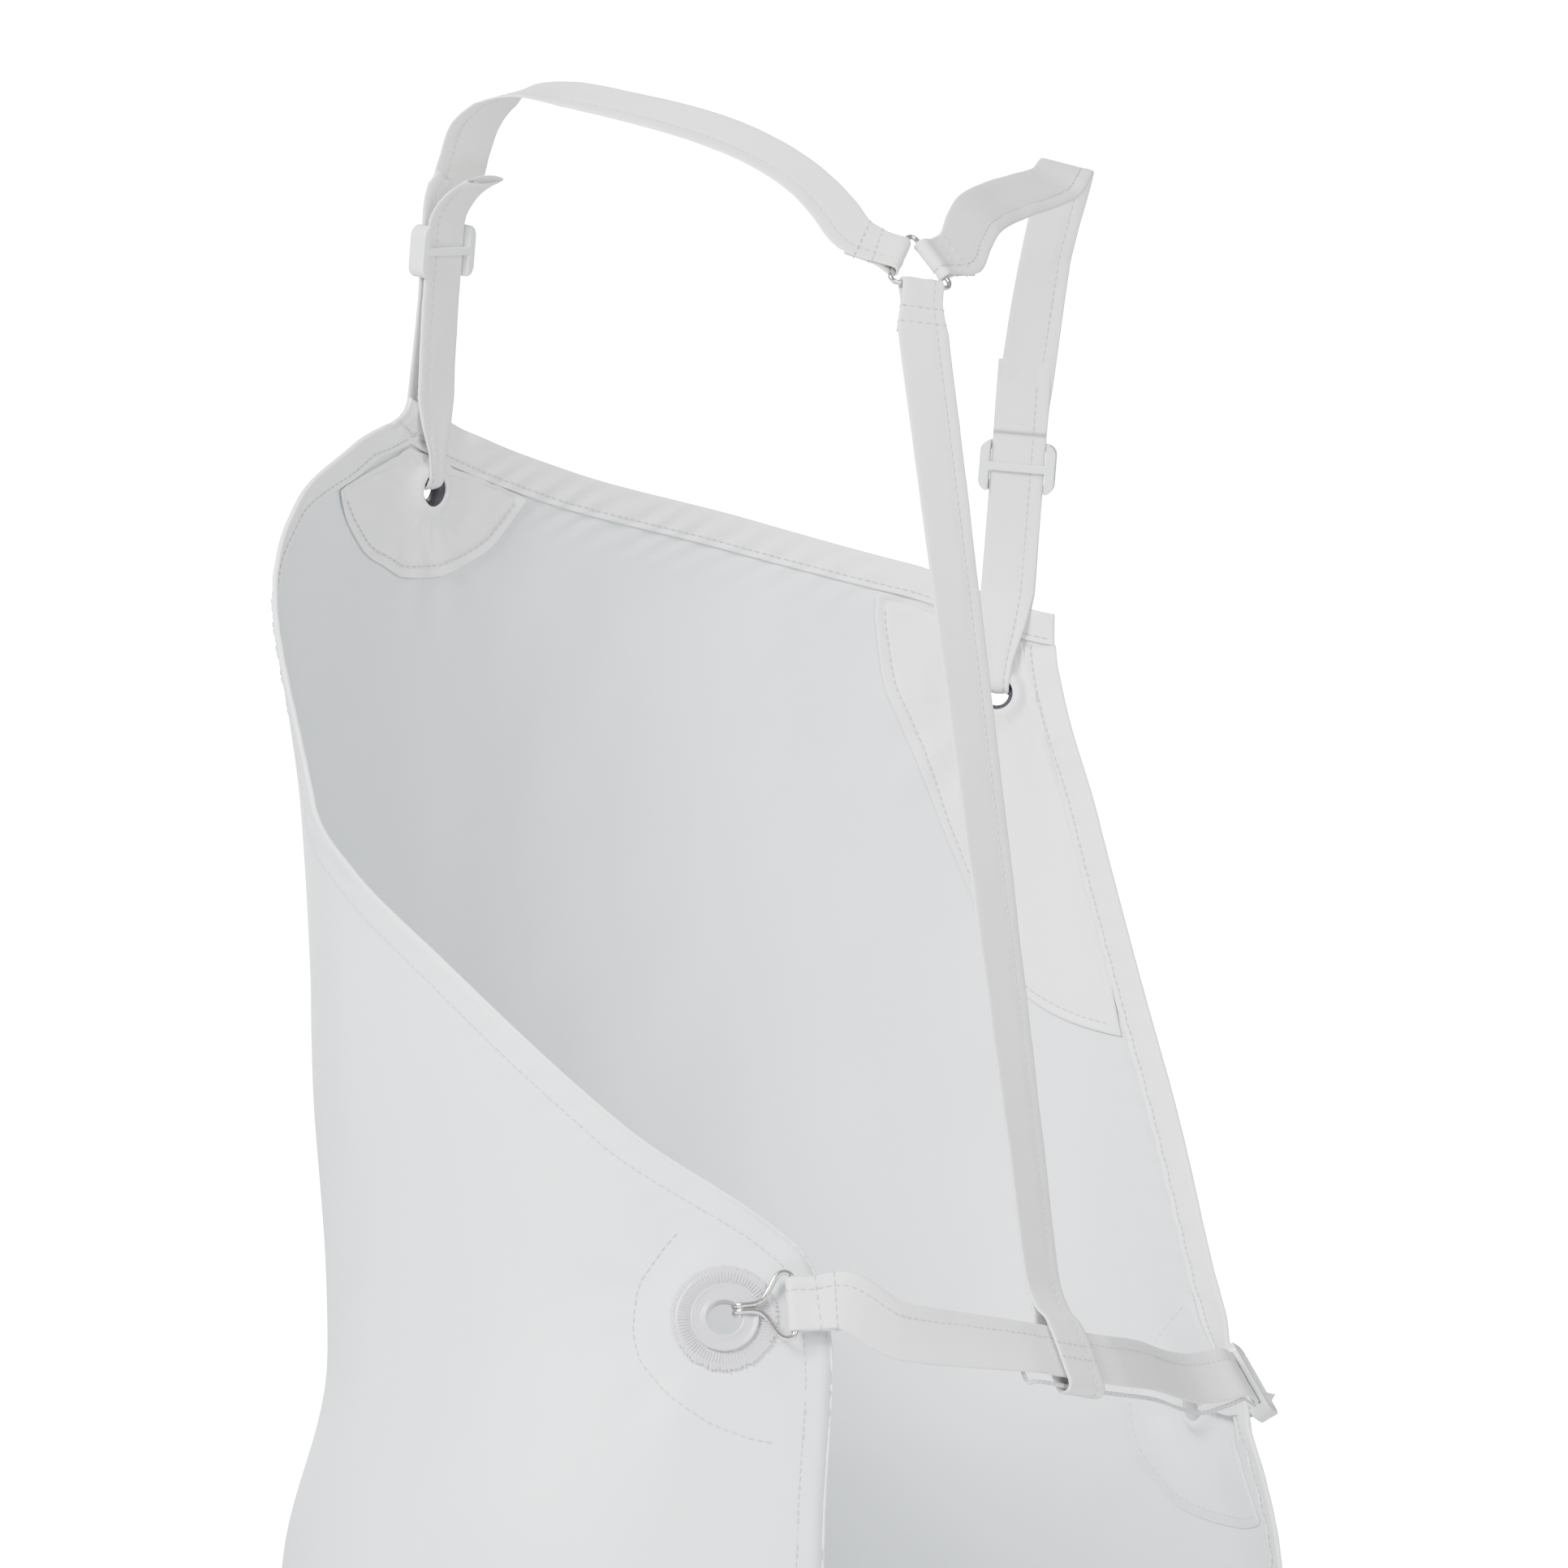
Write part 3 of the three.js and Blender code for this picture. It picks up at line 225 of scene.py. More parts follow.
def level(drop):
    """0 at the shoulders, 1 at the waist, 2 at the bottom edge."""
    return drop / WAIST_DROP if drop < WAIST_DROP else 1 + (drop - WAIST_DROP) / (HEM_DROP - WAIST_DROP)


def top_drop(across):
    return mix(RIGHT_CORNER_DROP, LEFT_CORNER_DROP, across) - top_rise(across)


def plain_point(across, drop):
    """Point of the panel before its folds; across runs from 0 at the right edge to 1 at the left."""
    h = level(drop)
    angle = mix(right_edge(h), left_edge(h), across)
    turn = math.radians(angle)
    flare = ARMHOLE_FLARE * math.exp(-(((h - 0.38) / 0.13) ** 2)) * smooth((angle - 25) / 50)
    wave = SKIRT_WAVE * smooth((h - 1.05) / 0.95) * math.cos(6 * turn + 0.6)
    half_width = girth(h) * WAIST_WIDTH / 2 + flare + wave
    half_depth = depth(h) * WAIST_DEPTH / 2 + wave
    return Vector((side_shift(h) + half_width * math.sin(turn), -half_depth * math.cos(turn), -drop))


def plain_normal(across, drop):
    step = 0.002
    side = plain_point(across + step, drop) - plain_point(across - step, drop)
    down = plain_point(across, drop + step) - plain_point(across, drop - step)
    return down.cross(side).normalized()


def disc_frame(node):
    """Middle, axis pointing away from the body, and two radial directions of a flat round node."""
    mesh = frame["nodes"][node].data
    points = [vertex.co.copy() for vertex in mesh.vertices]
    middle = sum(points, Vector()) / len(points)
    farthest = max(points, key=lambda point: (point - middle).length)
    first = (farthest - middle).normalized()
    crossing = max(points, key=lambda point: first.cross(point - middle).length)
    axis = first.cross(crossing - middle).normalized()
    if axis.dot(Vector((middle.x, middle.y, 0))) < 0:
        axis.negate()
    lids = [face.normal * face.area for face in mesh.polygons if face.normal.dot(axis) > 0.9]
    axis = sum(lids, Vector()).normalized()
    low, high = extent_along(node, middle, axis)
    first = (first - axis * axis.dot(first)).normalized()
    return {"middle": middle, "axis": axis, "x": first, "y": axis.cross(first), "low": low, "high": high}


def extent_along(node, middle, axis):
    """Lowest and highest place of a node along an axis through a point."""
    places = [axis.dot(vertex.co - middle) for vertex in frame["nodes"][node].data.vertices]
    return min(places), max(places)


PLACES = ("left_bib", "right_bib", "left_waist", "right_waist")
washers = {place: disc_frame(place + "_washer") for place in PLACES}


# Heights of the folds, from the broadest to the finest, and what seams and eyelets do to them.
BROAD_FOLD = 3.4 * MM
SLANTING_FOLD = 1.7 * MM
FINE_FOLD = 0.45 * MM
PUCKER_HEIGHT = 0.42 * MM
PUCKER_PITCH = 13 * MM
PUCKER_REACH = 11 * MM
PULL_REACH = 95 * MM
PULL_DEPTH = 40 * MM
CREASE_HEIGHT = 0.8 * MM
CREASE_COUNT = 9
CREASE_RADIUS = 44 * MM
CREASE_SPREAD = 20 * MM
FLAT_RADIUS = 20 * MM
FLAT_EASE = 16 * MM
UNDER_WASHER = 0.25 * MM  # clearance between the cloth and the washer on it


def slow_folds(point):
    """Height of the long soft folds, drawn out downwards as hanging cloth is."""
    broad = noise.noise(Vector((point.x * 9, point.y * 9, point.z * 3.2)))
    slanting = noise.noise(Vector((point.x * 20 + point.z * 9, point.y * 20, point.z * 8 + 40)))
    fine = noise.noise(Vector((point.x * 55, point.y * 55, point.z * 22 + 7)))
    return BROAD_FOLD * broad + SLANTING_FOLD * slanting + FINE_FOLD * fine


def seam_puckers(point, distance, phase):
    """Small ripples square to a seam, dying out over the width of a hem."""
    along = point.x * 0.7 + point.y * 0.5 + point.z
    ripple = math.sin(2 * math.pi * along / PUCKER_PITCH + 3 * noise.noise(point * 30) + phase)
    return PUCKER_HEIGHT * ripple * math.exp(-((distance - HEM_FOLD) / PUCKER_REACH) ** 2)


def eyelet_pull(point, outward, height):
    """Lays the cloth flat below each washer, with creases fanning out beyond it."""
    for washer in washers.values():
        local = point - washer["middle"]
        out = local.dot(washer["axis"])
        flat = local - washer["axis"] * out
        radius = flat.length
        if radius > PULL_REACH or abs(out) > PULL_DEPTH:
            continue
        angle = math.atan2(flat.dot(washer["y"]), flat.dot(washer["x"]))
        crease = math.cos(CREASE_COUNT * angle + 2 * math.sin(2 * angle))
        height += CREASE_HEIGHT * crease * math.exp(-(((radius - CREASE_RADIUS) / CREASE_SPREAD) ** 2))
        under = washer["low"] - CLOTH / 2 - UNDER_WASHER
        share = 1 - smooth((radius - FLAT_RADIUS) / FLAT_EASE)
        height = mix(height, (under - out) / max(0.5, outward.dot(washer["axis"])), share)
    return height


def cloth_point(across, drop, offset=0.0):
    """Point of the finished panel, moved off its middle surface by an offset outwards."""
    point = plain_point(across, drop)
    outward = plain_normal(across, drop)
    width = 0.62 if drop < SIDE_EDGE_DROP else 0.95
    side_distance = min(across, 1 - across) * width
    top_distance = drop - top_drop(min(max(across, 0), 1))
    height = slow_folds(point) * smooth(min(side_distance, top_distance) / (40 * MM) + 0.25)
    height += seam_puckers(point, side_distance, 0.0) + seam_puckers(point, top_distance, 2.0)
    height = eyelet_pull(point, outward, height)
    return point + outward * (height + offset)


def closed_sheet(name, inner, outer, wrap=False):
    """Closed body between two equal grids of points; wrap joins the last column to the first."""
    rows = len(inner)
    columns = len(inner[0])
    vertices = [point for line in inner for point in line] + [point for line in outer for point in line]
    shift = rows * columns
    faces = []
    last = columns if wrap else columns - 1
    for i in range(rows - 1):
        for j in range(last):
            a = i * columns + j
            b = i * columns + (j + 1) % columns
            faces.append((a, b, b + columns, a + columns))
            faces.append((shift + a + columns, shift + b + columns, shift + b, shift + a))
    for i in (0, rows - 1):
        for j in range(last):
            a = i * columns + j
            b = i * columns + (j + 1) % columns
            faces.append((a, b, shift + b, shift + a)[::1 if i else -1])
    if not wrap:
        for j in (0, columns - 1):
            for i in range(rows - 1):
                a = i * columns + j
                b = (i + 1) * columns + j
                faces.append((a, b, shift + b, shift + a)[::-1 if j else 1])
    return finished_mesh(name, vertices, faces)


def finished_mesh(name, vertices, faces):
    """Mesh object with merged points and outward faces, shaded smooth."""
    mesh = bpy.data.meshes.new(name)
    mesh.from_pydata([tuple(vertex) for vertex in vertices], [], faces)
    shape = bmesh.new()
    shape.from_mesh(mesh)
    bmesh.ops.remove_doubles(shape, verts=shape.verts, dist=1e-6)
    bmesh.ops.recalc_face_normals(shape, faces=shape.faces)
    shape.to_mesh(mesh)
    shape.free()
    mesh.shade_smooth()
    piece = bpy.data.objects.new(name, mesh)
    bpy.context.collection.objects.link(piece)
    return piece


def add_grain(material, shader, scale, strength, distance, color, variation):
    """Fine relief and a faint drift of colour, both on Object coordinates."""
    nodes = material.node_tree.nodes
    links = material.node_tree.links
    place = nodes.new("ShaderNodeTexCoord")
    grain = nodes.new("ShaderNodeTexNoise")
    grain.inputs["Scale"].default_value = scale
    grain.inputs["Detail"].default_value = 3
    bump = nodes.new("ShaderNodeBump")
    bump.inputs["Strength"].default_value = strength
    bump.inputs["Distance"].default_value = distance
    links.new(place.outputs["Object"], grain.inputs["Vector"])
    links.new(grain.outputs["Fac"], bump.inputs["Height"])
    links.new(bump.outputs["Normal"], shader.inputs["Normal"])
    drift = nodes.new("ShaderNodeTexNoise")
    drift.inputs["Scale"].default_value = 14
    drift.inputs["Detail"].default_value = 5
    ramp = nodes.new("ShaderNodeValToRGB")
    ramp.color_ramp.elements[0].position = 0.3
    ramp.color_ramp.elements[1].position = 0.7
    ramp.color_ramp.elements[0].color = (*[c * (1 - variation) for c in color], 1)
    ramp.color_ramp.elements[1].color = (*color, 1)
    links.new(place.outputs["Object"], drift.inputs["Vector"])
    links.new(drift.outputs["Fac"], ramp.inputs["Fac"])
    links.new(ramp.outputs["Color"], shader.inputs["Base Color"])
    return bump


def cloth_material(name, color, roughness, sheen):
    """Coated cloth: matt with a faint gloss, and the pebbled grain of its coating."""
    material, shader = plain_material(name, color, roughness)
    shader.inputs["Sheen Weight"].default_value = sheen
    shader.inputs["Specular IOR Level"].default_value = 0.35
    add_grain(material, shader, 1400, 0.35, 0.12 * MM, color, 0.025)
    return material


panel_cloth = cloth_material("coated_cloth", (0.60, 0.635, 0.655), 0.5, 0.05)


def row_drops(across):
    top = top_drop(across)
    upper = [mix(top, SIDE_EDGE_DROP, i / UPPER_ROWS) for i in range(UPPER_ROWS)]
    lower = [mix(SIDE_EDGE_DROP, HEM_DROP, i / LOWER_ROWS) for i in range(LOWER_ROWS + 1)]
    return upper + lower


def panel_grid(offset):
    columns = []
    for j in range(PANEL_COLUMNS + 1):
        across = j / PANEL_COLUMNS
        columns.append([cloth_point(across, drop, offset) for drop in row_drops(across)])
    return columns


panel_inner = panel_grid(-CLOTH / 2)
panel_outer = panel_grid(CLOTH / 2)


def cut_bore(piece, washer, radius):
    """Round hole through the cloth below an eyelet."""
    bpy.ops.mesh.primitive_cylinder_add(vertices=40, radius=radius, depth=24 * MM)
    drill = bpy.context.object
    basis = Matrix((washer["x"], washer["y"], washer["axis"])).transposed().to_4x4()
    drill.matrix_world = Matrix.Translation(washer["middle"]) @ basis
    cut = piece.modifiers.new("bore", "BOOLEAN")
    cut.object = drill
    cut.operation = "DIFFERENCE"
    settle(piece)
    bpy.data.objects.remove(drill)


def settle(piece):
    """Turns what the modifiers make of a piece into its plain mesh."""
    bpy.context.view_layer.update()
    result = bpy.data.meshes.new_from_object(piece.evaluated_get(bpy.context.evaluated_depsgraph_get()))
    piece.modifiers.clear()
    old = piece.data
    piece.data = result
    bpy.data.meshes.remove(old)


BORE_IN_CLOTH = 8.9 * MM
panel = closed_sheet("panel", panel_inner, panel_outer)
surface = BVHTree.FromObject(panel, bpy.context.evaluated_depsgraph_get())
for place in PLACES:
    cut_bore(panel, washers[place], BORE_IN_CLOTH)
panel.data.shade_smooth()
panel.data.materials.append(panel_cloth)
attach(panel, "root")
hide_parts("apron_panel")

# ------------------------------------------------------------------ hems
# Each edge of the panel is turned in twice towards the wearer and stitched down, so it reads
# as a thicker band with a rounded fold at its edge and a slight step at its inner side.
hem_cloth = cloth_material("hem_cloth", (0.69, 0.70, 0.685), 0.55, 0.08)
# Distance from the edge, and the heights of the band's inner and outer faces, in mm.
HEM_SECTION = [
    (-0.75, -0.75, -0.45), (-0.6, -1.3, 0.05), (-0.2, -1.75, 0.42), (0.5, -2.0, 0.46),
    (1.4, -2.05, -0.45), (3.5, -1.95, -0.45), (6.5, -1.85, -0.45), (9.5, -1.75, -0.45),
    (11.2, -1.25, -0.45), (12.2, -1.75, -0.5), (13.3, -2.15, -0.75), (13.8, -2.05, -0.95),
    (14.0, -1.6, -1.15),
]


def side_share(edge, drop):
    """Share of the row that a millimetre square to the side edge takes."""
    inward = 0.02 if edge == 0 else 0.98
    along = (plain_point(edge, drop + MM) - plain_point(edge, drop - MM)).normalized()
    across = plain_point(inward, drop) - plain_point(edge, drop)
    return 0.02 * MM / (across - along * across.dot(along)).length


def hem_band(name, lines, place):
    """Band along an edge: lines are the stations along it, place gives a point of its section."""
    inner = [[place(line, distance, low * MM) for distance, low, _ in HEM_SECTION] for line in lines]
    outer = [[place(line, distance, high * MM) for distance, _, high in HEM_SECTION] for line in lines]
    band = closed_sheet(name, inner, outer)
    band.data.materials.append(hem_cloth)
    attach(band, "root")
    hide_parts(name.replace("_band", "_hem"))
    return band


def on_side(edge):
    sign = 1 if edge == 0 else -1

    def place(drop, distance, offset):
        return cloth_point(edge + sign * distance * side_share(edge, drop), drop, offset)

    return place


def on_top(across, distance, offset):
    return cloth_point(across, top_drop(across) + distance * MM, offset)


def on_bottom(across, distance, offset):
    return cloth_point(across, HEM_DROP - distance * MM, offset)


def spread(first, last, step):
    count = max(2, round(abs(last - first) / step))
    return [mix(first, last, i / count) for i in range(count + 1)]


hems = [
    hem_band("top_band", spread(0, 1, 1 / 240), on_top),
    hem_band("bottom_band", spread(0, 1, 1 / 240), on_bottom),
]
for edge, side, corner in ((0, "right", RIGHT_CORNER_DROP), (1, "left", LEFT_CORNER_DROP)):
    armhole = spread(corner + HEM_FOLD, SIDE_EDGE_DROP, 3 * MM)
    skirt = spread(SIDE_EDGE_DROP, HEM_DROP - HEM_FOLD, 4 * MM)
    hems.append(hem_band(side + "_armhole_band", armhole, on_side(edge)))
    hems.append(hem_band(side + "_side_band", skirt, on_side(edge)))

# ------------------------------------------------------------------ patches
# A second layer of cloth is sewn inside each corner that carries an eyelet. Its own edge is
# turned under, so it stands up a little and pulls small creases into the cloth below.
# Rings from the bore to the patch's edge, as shares of the way, closer where the cloth turns.
PATCH_STEPS = (
    0.0, 0.02, 0.05, 0.1, 0.16, 0.25, 0.35, 0.45, 0.55, 0.64, 0.72, 0.78,
    0.83, 0.86, 0.88, 0.9, 0.92, 0.94, 0.96, 0.975, 0.987, 0.996, 1.0,
)
PATCH_SPOKES = 200
PATCH_STITCH_INSET = 5.3 * MM
BORE_IN_PATCH = 7.7 * MM
CLOTH_OVER_RIM = 0.55  # mm that a patch stands above the eyelet rim it covers
RIM_RADIUS = 10  # mm; beyond this the patch comes down from the rim to the panel
RIM_EASE = 4.5


def hull(points):
    """Outline of flat points, in order, as for a stretched band round them."""
    ordered = sorted(set(points))
    outline = []
    for run in (ordered, ordered[::-1]):
        part = []
        for point in run:
            while len(part) > 1 and turn_of(part[-2], part[-1], point) <= 0:
                part.pop()
            part.append(point)
        outline += part[:-1]
    return outline


def turn_of(a, b, c):
    return (b[0] - a[0]) * (c[1] - a[1]) - (b[1] - a[1]) * (c[0] - a[0])


def reach_of(outline, angle):
    """Distance from the middle to the outline in one direction."""
    x = math.cos(angle)
    y = math.sin(angle)
    for (ax, ay), (bx, by) in zip(outline, outline[1:] + outline[:1]):
        cross = x * (by - ay) - y * (bx - ax)
        if abs(cross) < 1e-12:
            continue
        t = (ax * (by - ay) - ay * (bx - ax)) / cross
        s = (ax * y - ay * x) / cross
        if t > 0 and -1e-9 <= s <= 1 + 1e-9:
            return t
    return 0.0


def onto_cloth(washer, x, y, side):
    """Nearest point of the cloth's inner (-1) or outer (1) face under a flat place by an eyelet."""
    axis = washer["axis"] * side
    start = washer["middle"] + washer["x"] * x + washer["y"] * y + axis * 0.09
    hit = surface.ray_cast(start, -axis, 0.2)
    return (hit[0], hit[1] * (1 if hit[1].dot(axis) > 0 else -1)) if hit[0] else (None, None)


def patch_outline(place):
    washer = washers[place]
    flat = []
    for vertex in frame["nodes"][place + "_patch"].data.vertices:
        local = vertex.co - washer["middle"]
        flat.append((round(local.dot(washer["x"]), 6), round(local.dot(washer["y"]), 6)))
    outline = hull(flat)
    reaches_round = []
    for k in range(PATCH_SPOKES):
        angle = 2 * math.pi * k / PATCH_SPOKES
        wander = noise.noise(Vector((2.6 * math.cos(angle), 2.6 * math.sin(angle), 7 + len(place))))
        reaches_round.append(reach_of(outline, angle) - 1.2 * MM + 1.6 * MM * wander)
    return reaches_round


def patch_piece(place, reaches):
    washer = washers[place]
    bottom, _ = extent_along(place + "_eyelet", washer["middle"], washer["axis"])
    cover = (washer["low"] - bottom - CLOTH) / MM + CLOTH_OVER_RIM
    loose = 1 if "bib" in place else 0
    inner = []
    outer = []
    for k, reach in enumerate(reaches):
        angle = 2 * math.pi * k / PATCH_SPOKES
        for line in (inner, outer):
            line.append([])
        for step in PATCH_STEPS:
            radius = mix(BORE_IN_PATCH, reach, step)
            sought = max(radius, BORE_IN_CLOTH + 0.6 * MM)
            point, normal = onto_cloth(washer, sought * math.cos(angle), sought * math.sin(angle), -1)
            if point is None:
                inner[-1].append(inner[-1][-1])
                outer[-1].append(outer[-1][-1])
                continue
            if sought > radius:
                out = washer["x"] * math.cos(angle) + washer["y"] * math.sin(angle)
                point = point + out * (radius - sought)
            border = (reach - radius) / MM
            wave = noise.noise(Vector((3.2 * math.cos(angle), 3.2 * math.sin(angle), len(place))))
            crease = noise.noise(Vector((5 * math.cos(angle), 5 * math.sin(angle), 4 * step + len(place))))
            rise = 1.25 + loose * 0.75 * crease * math.sin(math.pi * min(step * 1.1, 1))
            rise -= loose * 0.75 * math.exp(-((border - PATCH_STITCH_INSET / MM) / 0.9) ** 2)
            rise += loose * (0.5 + 1.1 * max(wave, 0)) * smooth(1 - border / 4)
            if not loose:
                rise *= 0.45 + 0.55 * smooth(border / 5)
            rim = 1 - smooth((radius / MM - RIM_RADIUS) / RIM_EASE)
            rise = mix(max(rise, 0.55), cover, rim) * MM
            under = 0.12 * MM if rim < 0.05 else max(rise - 0.7 * MM, 0.12 * MM)
            if border < 3:
                under = max(under, rise - 0.9 * MM)
            if border < 0.5:
                rise = mix(under + 0.3 * MM, rise, math.sqrt(border / 0.5))
            inner[-1].append(point + normal * rise)
            outer[-1].append(point + normal * under)
    inner.append(inner[0])
    outer.append(outer[0])
    patch = closed_sheet(place + "_inner_patch", inner, outer)
    patch.data.materials.append(hem_cloth if loose else panel_cloth)
    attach(patch, "root")
    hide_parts(place + "_patch")
    return patch


reaches = {place: patch_outline(place) for place in PLACES}
patches = [patch_piece(place, reaches[place]) for place in PLACES]

# ------------------------------------------------------------------ eyelets and washers
# Each eyelet is moulded in clear plastic in two halves: a barrel with a wide flange, and a
# toothed washer with radial ribs that grips the cloth below it.
def clear_plastic(name, color, roughness):
    """Milky clear moulding, with a faint lilac cast where it is thick."""
    material, shader = plain_material(name, color, roughness)
    shader.inputs["IOR"].default_value = 1.49
    shader.inputs["Transmission Weight"].default_value = 0.35
    shader.inputs["Subsurface Weight"].default_value = 0.15
    shader.inputs["Subsurface Radius"].default_value = (0.002, 0.002, 0.002)
    add_grain(material, shader, 500, 0.1, 0.05 * MM, color, 0.04)
    return material


eyelet_plastic = clear_plastic("eyelet_clear", (0.66, 0.635, 0.69), 0.2)
# Painted shade: the bib eyelets' barrels get a near-black inner ring that stands in for the shade inside the
# hole.
bore_shade_material, bore_shade_shader = plain_material("painted_bore_shade", (0.03, 0.028, 0.035), 0.6)
add_grain(bore_shade_material, bore_shade_shader, 600, 0.2, 0.05 * MM, (0.03, 0.028, 0.035), 0.2)
SHADED_BORES = ("left_bib", "right_bib")
SHADE_RING_BORE = 5.3
SHADE_RING_REACH = 8.0 * MM  # the painted shade ring's faces lie nearer the eyelet's axis than this
WASHER_RIBS = 84
RIB_HEIGHT = 0.42
SPOKES = WASHER_RIBS * 6


def turned_piece(name, washer, profile, shape=None):
    """Ring turned round an eyelet's axis from a closed profile of (radius, height) in mm."""
    rings = []
    for k in range(SPOKES):
        angle = 2 * math.pi * k / SPOKES
        out = washer["x"] * math.cos(angle) + washer["y"] * math.sin(angle)
        section = profile if shape is None else [shape(angle, r, h) for r, h in profile]
        rings.append([washer["middle"] + out * r * MM + washer["axis"] * h * MM for r, h in section])
    count = len(profile)
    faces = []
    for k in range(SPOKES):
        for i in range(count):
            a = k * count + i
            b = k * count + (i + 1) % count
            c = ((k + 1) % SPOKES) * count
            faces.append((a, b, c + (i + 1) % count, c + i))
    return finished_mesh(name, [point for ring in rings for point in ring], faces)


def ribbed(angle, radius, height):
    """Radial ribs on the washer's upper face, and a rim of uneven teeth."""
    rib = math.cos(WASHER_RIBS * angle)
    ragged = noise.noise(Vector((4 * math.cos(angle), 4 * math.sin(angle), 3)))
    fringe = noise.noise(Vector((30 * math.cos(angle), 30 * math.sin(angle), 9)))
    if radius > 21:
        radius += 0.25 * rib + 0.4 * ragged + 1.5 * fringe
    if 15.5 < radius < 19.5 and height > 0:
        height += RIB_HEIGHT * rib
    return radius, height


for place in PLACES:
    washer = washers[place]
    low = washer["low"] / MM
    high = washer["high"] / MM
    bottom, top = [edge / MM for edge in extent_along(place + "_eyelet", washer["middle"], washer["axis"])]
    plate = [
        (9.1, low), (21.6, low), (22.2, low + 0.25), (22.3, 0.1), (21.6, high - 0.35), (20.9, high - 0.3),
        (20.2, high - 0.35), (19.6, high + 0.1), (19.2, high), (17.4, high - 0.1), (15.8, high - 0.2),
        (15.2, high - 0.5), (12, high - 0.4), (9.1, high - 0.4),
    ]
    teeth = turned_piece(place + "_toothed_washer", washer, plate, ribbed)
    seat = high + 0.25
    barrel = [
        (7.3, bottom + 0.3), (7.5, bottom), (9.5, bottom), (9.7, bottom + 0.3),
        (9.5, bottom + 0.8), (8.6, bottom + 0.9), (8.6, seat), (13.6, seat),
        (14.1, seat + 0.15), (14.35, seat + 0.5), (14.3, top - 0.1), (14.0, top + 0.12),
        (13.5, top + 0.12), (13.1, top - 0.25), (12.5, top - 0.5), (10.0, top - 0.5),
        (9.3, top - 0.3), (8.9, top + 0.1), (8.1, top + 0.15), (7.6, top - 0.05), (7.3, top - 0.5),
    ]
    # Inner ring of the bib eyelets' barrels, which carries the painted shade of the bore.
    if place in SHADED_BORES:
        barrel += [
            (7.2, top - 0.9), (SHADE_RING_BORE, top - 1.1), (SHADE_RING_BORE, bottom + 1.6), (7.2, bottom + 1.2),
        ]
    barrel_piece = turned_piece(place + "_flanged_barrel", washer, barrel)
    halves = ((teeth, "_washer", "clear_plastic"), (barrel_piece, "_eyelet", "eyelet_plastic"))
    for piece, node, name in halves:
        piece.data.materials.append(eyelet_plastic)
        # Faces near the axis get the painted shade of the bore, the rest the clear plastic.
        if piece is barrel_piece and place in SHADED_BORES:
            piece.data.materials.append(bore_shade_material)
            for face in piece.data.polygons:
                out = face.center - washer["middle"]
                out -= washer["axis"] * out.dot(washer["axis"])
                face.material_index = 1 if out.length < SHADE_RING_REACH else 0
        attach(piece, "root")
        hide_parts(place + node)

# ------------------------------------------------------------------ straps
# Every strap is a tube of cloth pressed flat, with one row of stitches a quarter of the way in
# from one edge. It is thin and a little uneven, and its cut ends stay open where they hang free.
strap_cloth = cloth_material("strap_cloth", (0.64, 0.64, 0.63), 0.6, 0.08)
STRAP_STEP = 2.2 * MM
SHARP = 0.8  # radians; the strap's long edges are sharper than this, its facets are not
# Places across the strap, as shares of its half width, and the half thickness there in mm.
STRAP_SECTION = [
    (-1.0, 0.0), (-0.985, 0.36), (-0.94, 0.6), (-0.85, 0.68), (-0.6, 0.66), (-0.2, 0.62), (0.2, 0.64),
    (0.4, 0.6), (0.5, 0.42), (0.6, 0.6), (0.75, 0.7), (0.9, 0.64), (0.97, 0.45), (1.0, 0.0),
]
SEAM_PLACE = 0.5  # the long seam's place across a strap, as a share of its half width


def strap_rings(node, start_near):
    """Stations of a CAD strap in order: middle, half-width vector. It starts at the end nearer a point."""
    shape = bmesh.new()
    shape.from_mesh(frame["nodes"][node].data)
    bmesh.ops.remove_doubles(shape, verts=shape.verts, dist=2e-6)
    ends = [vertex for vertex in shape.verts if len(vertex.link_edges) < 6]
    ends.sort(key=lambda vertex: (vertex.co - start_near).length)
    ring = ends[:4]
    seen = set(ring)
    rings = []
    while ring:
        rings.append([vertex.co.copy() for vertex in ring])
        following = []
        for vertex in ring:
            for edge in vertex.link_edges:
                if edge.calc_face_angle(0) > SHARP and edge.other_vert(vertex) not in seen:
                    following.append(edge.other_vert(vertex))
        seen |= set(following)
        ring = following
    shape.free()
    stations = []
    before = None
    for points in rings:
        first = points[0]
        partner = min(points[1:], key=lambda point: (point - first).length)
        others = [point for point in points[1:] if point is not partner]
        one = (first + partner) / 2
        two = (others[0] + others[1]) / 2
        half = (two - one) / 2
        if before is not None and half.dot(before) < 0:
            half.negate()
        before = half
        stations.append(((one + two) / 2, half))
    return stations


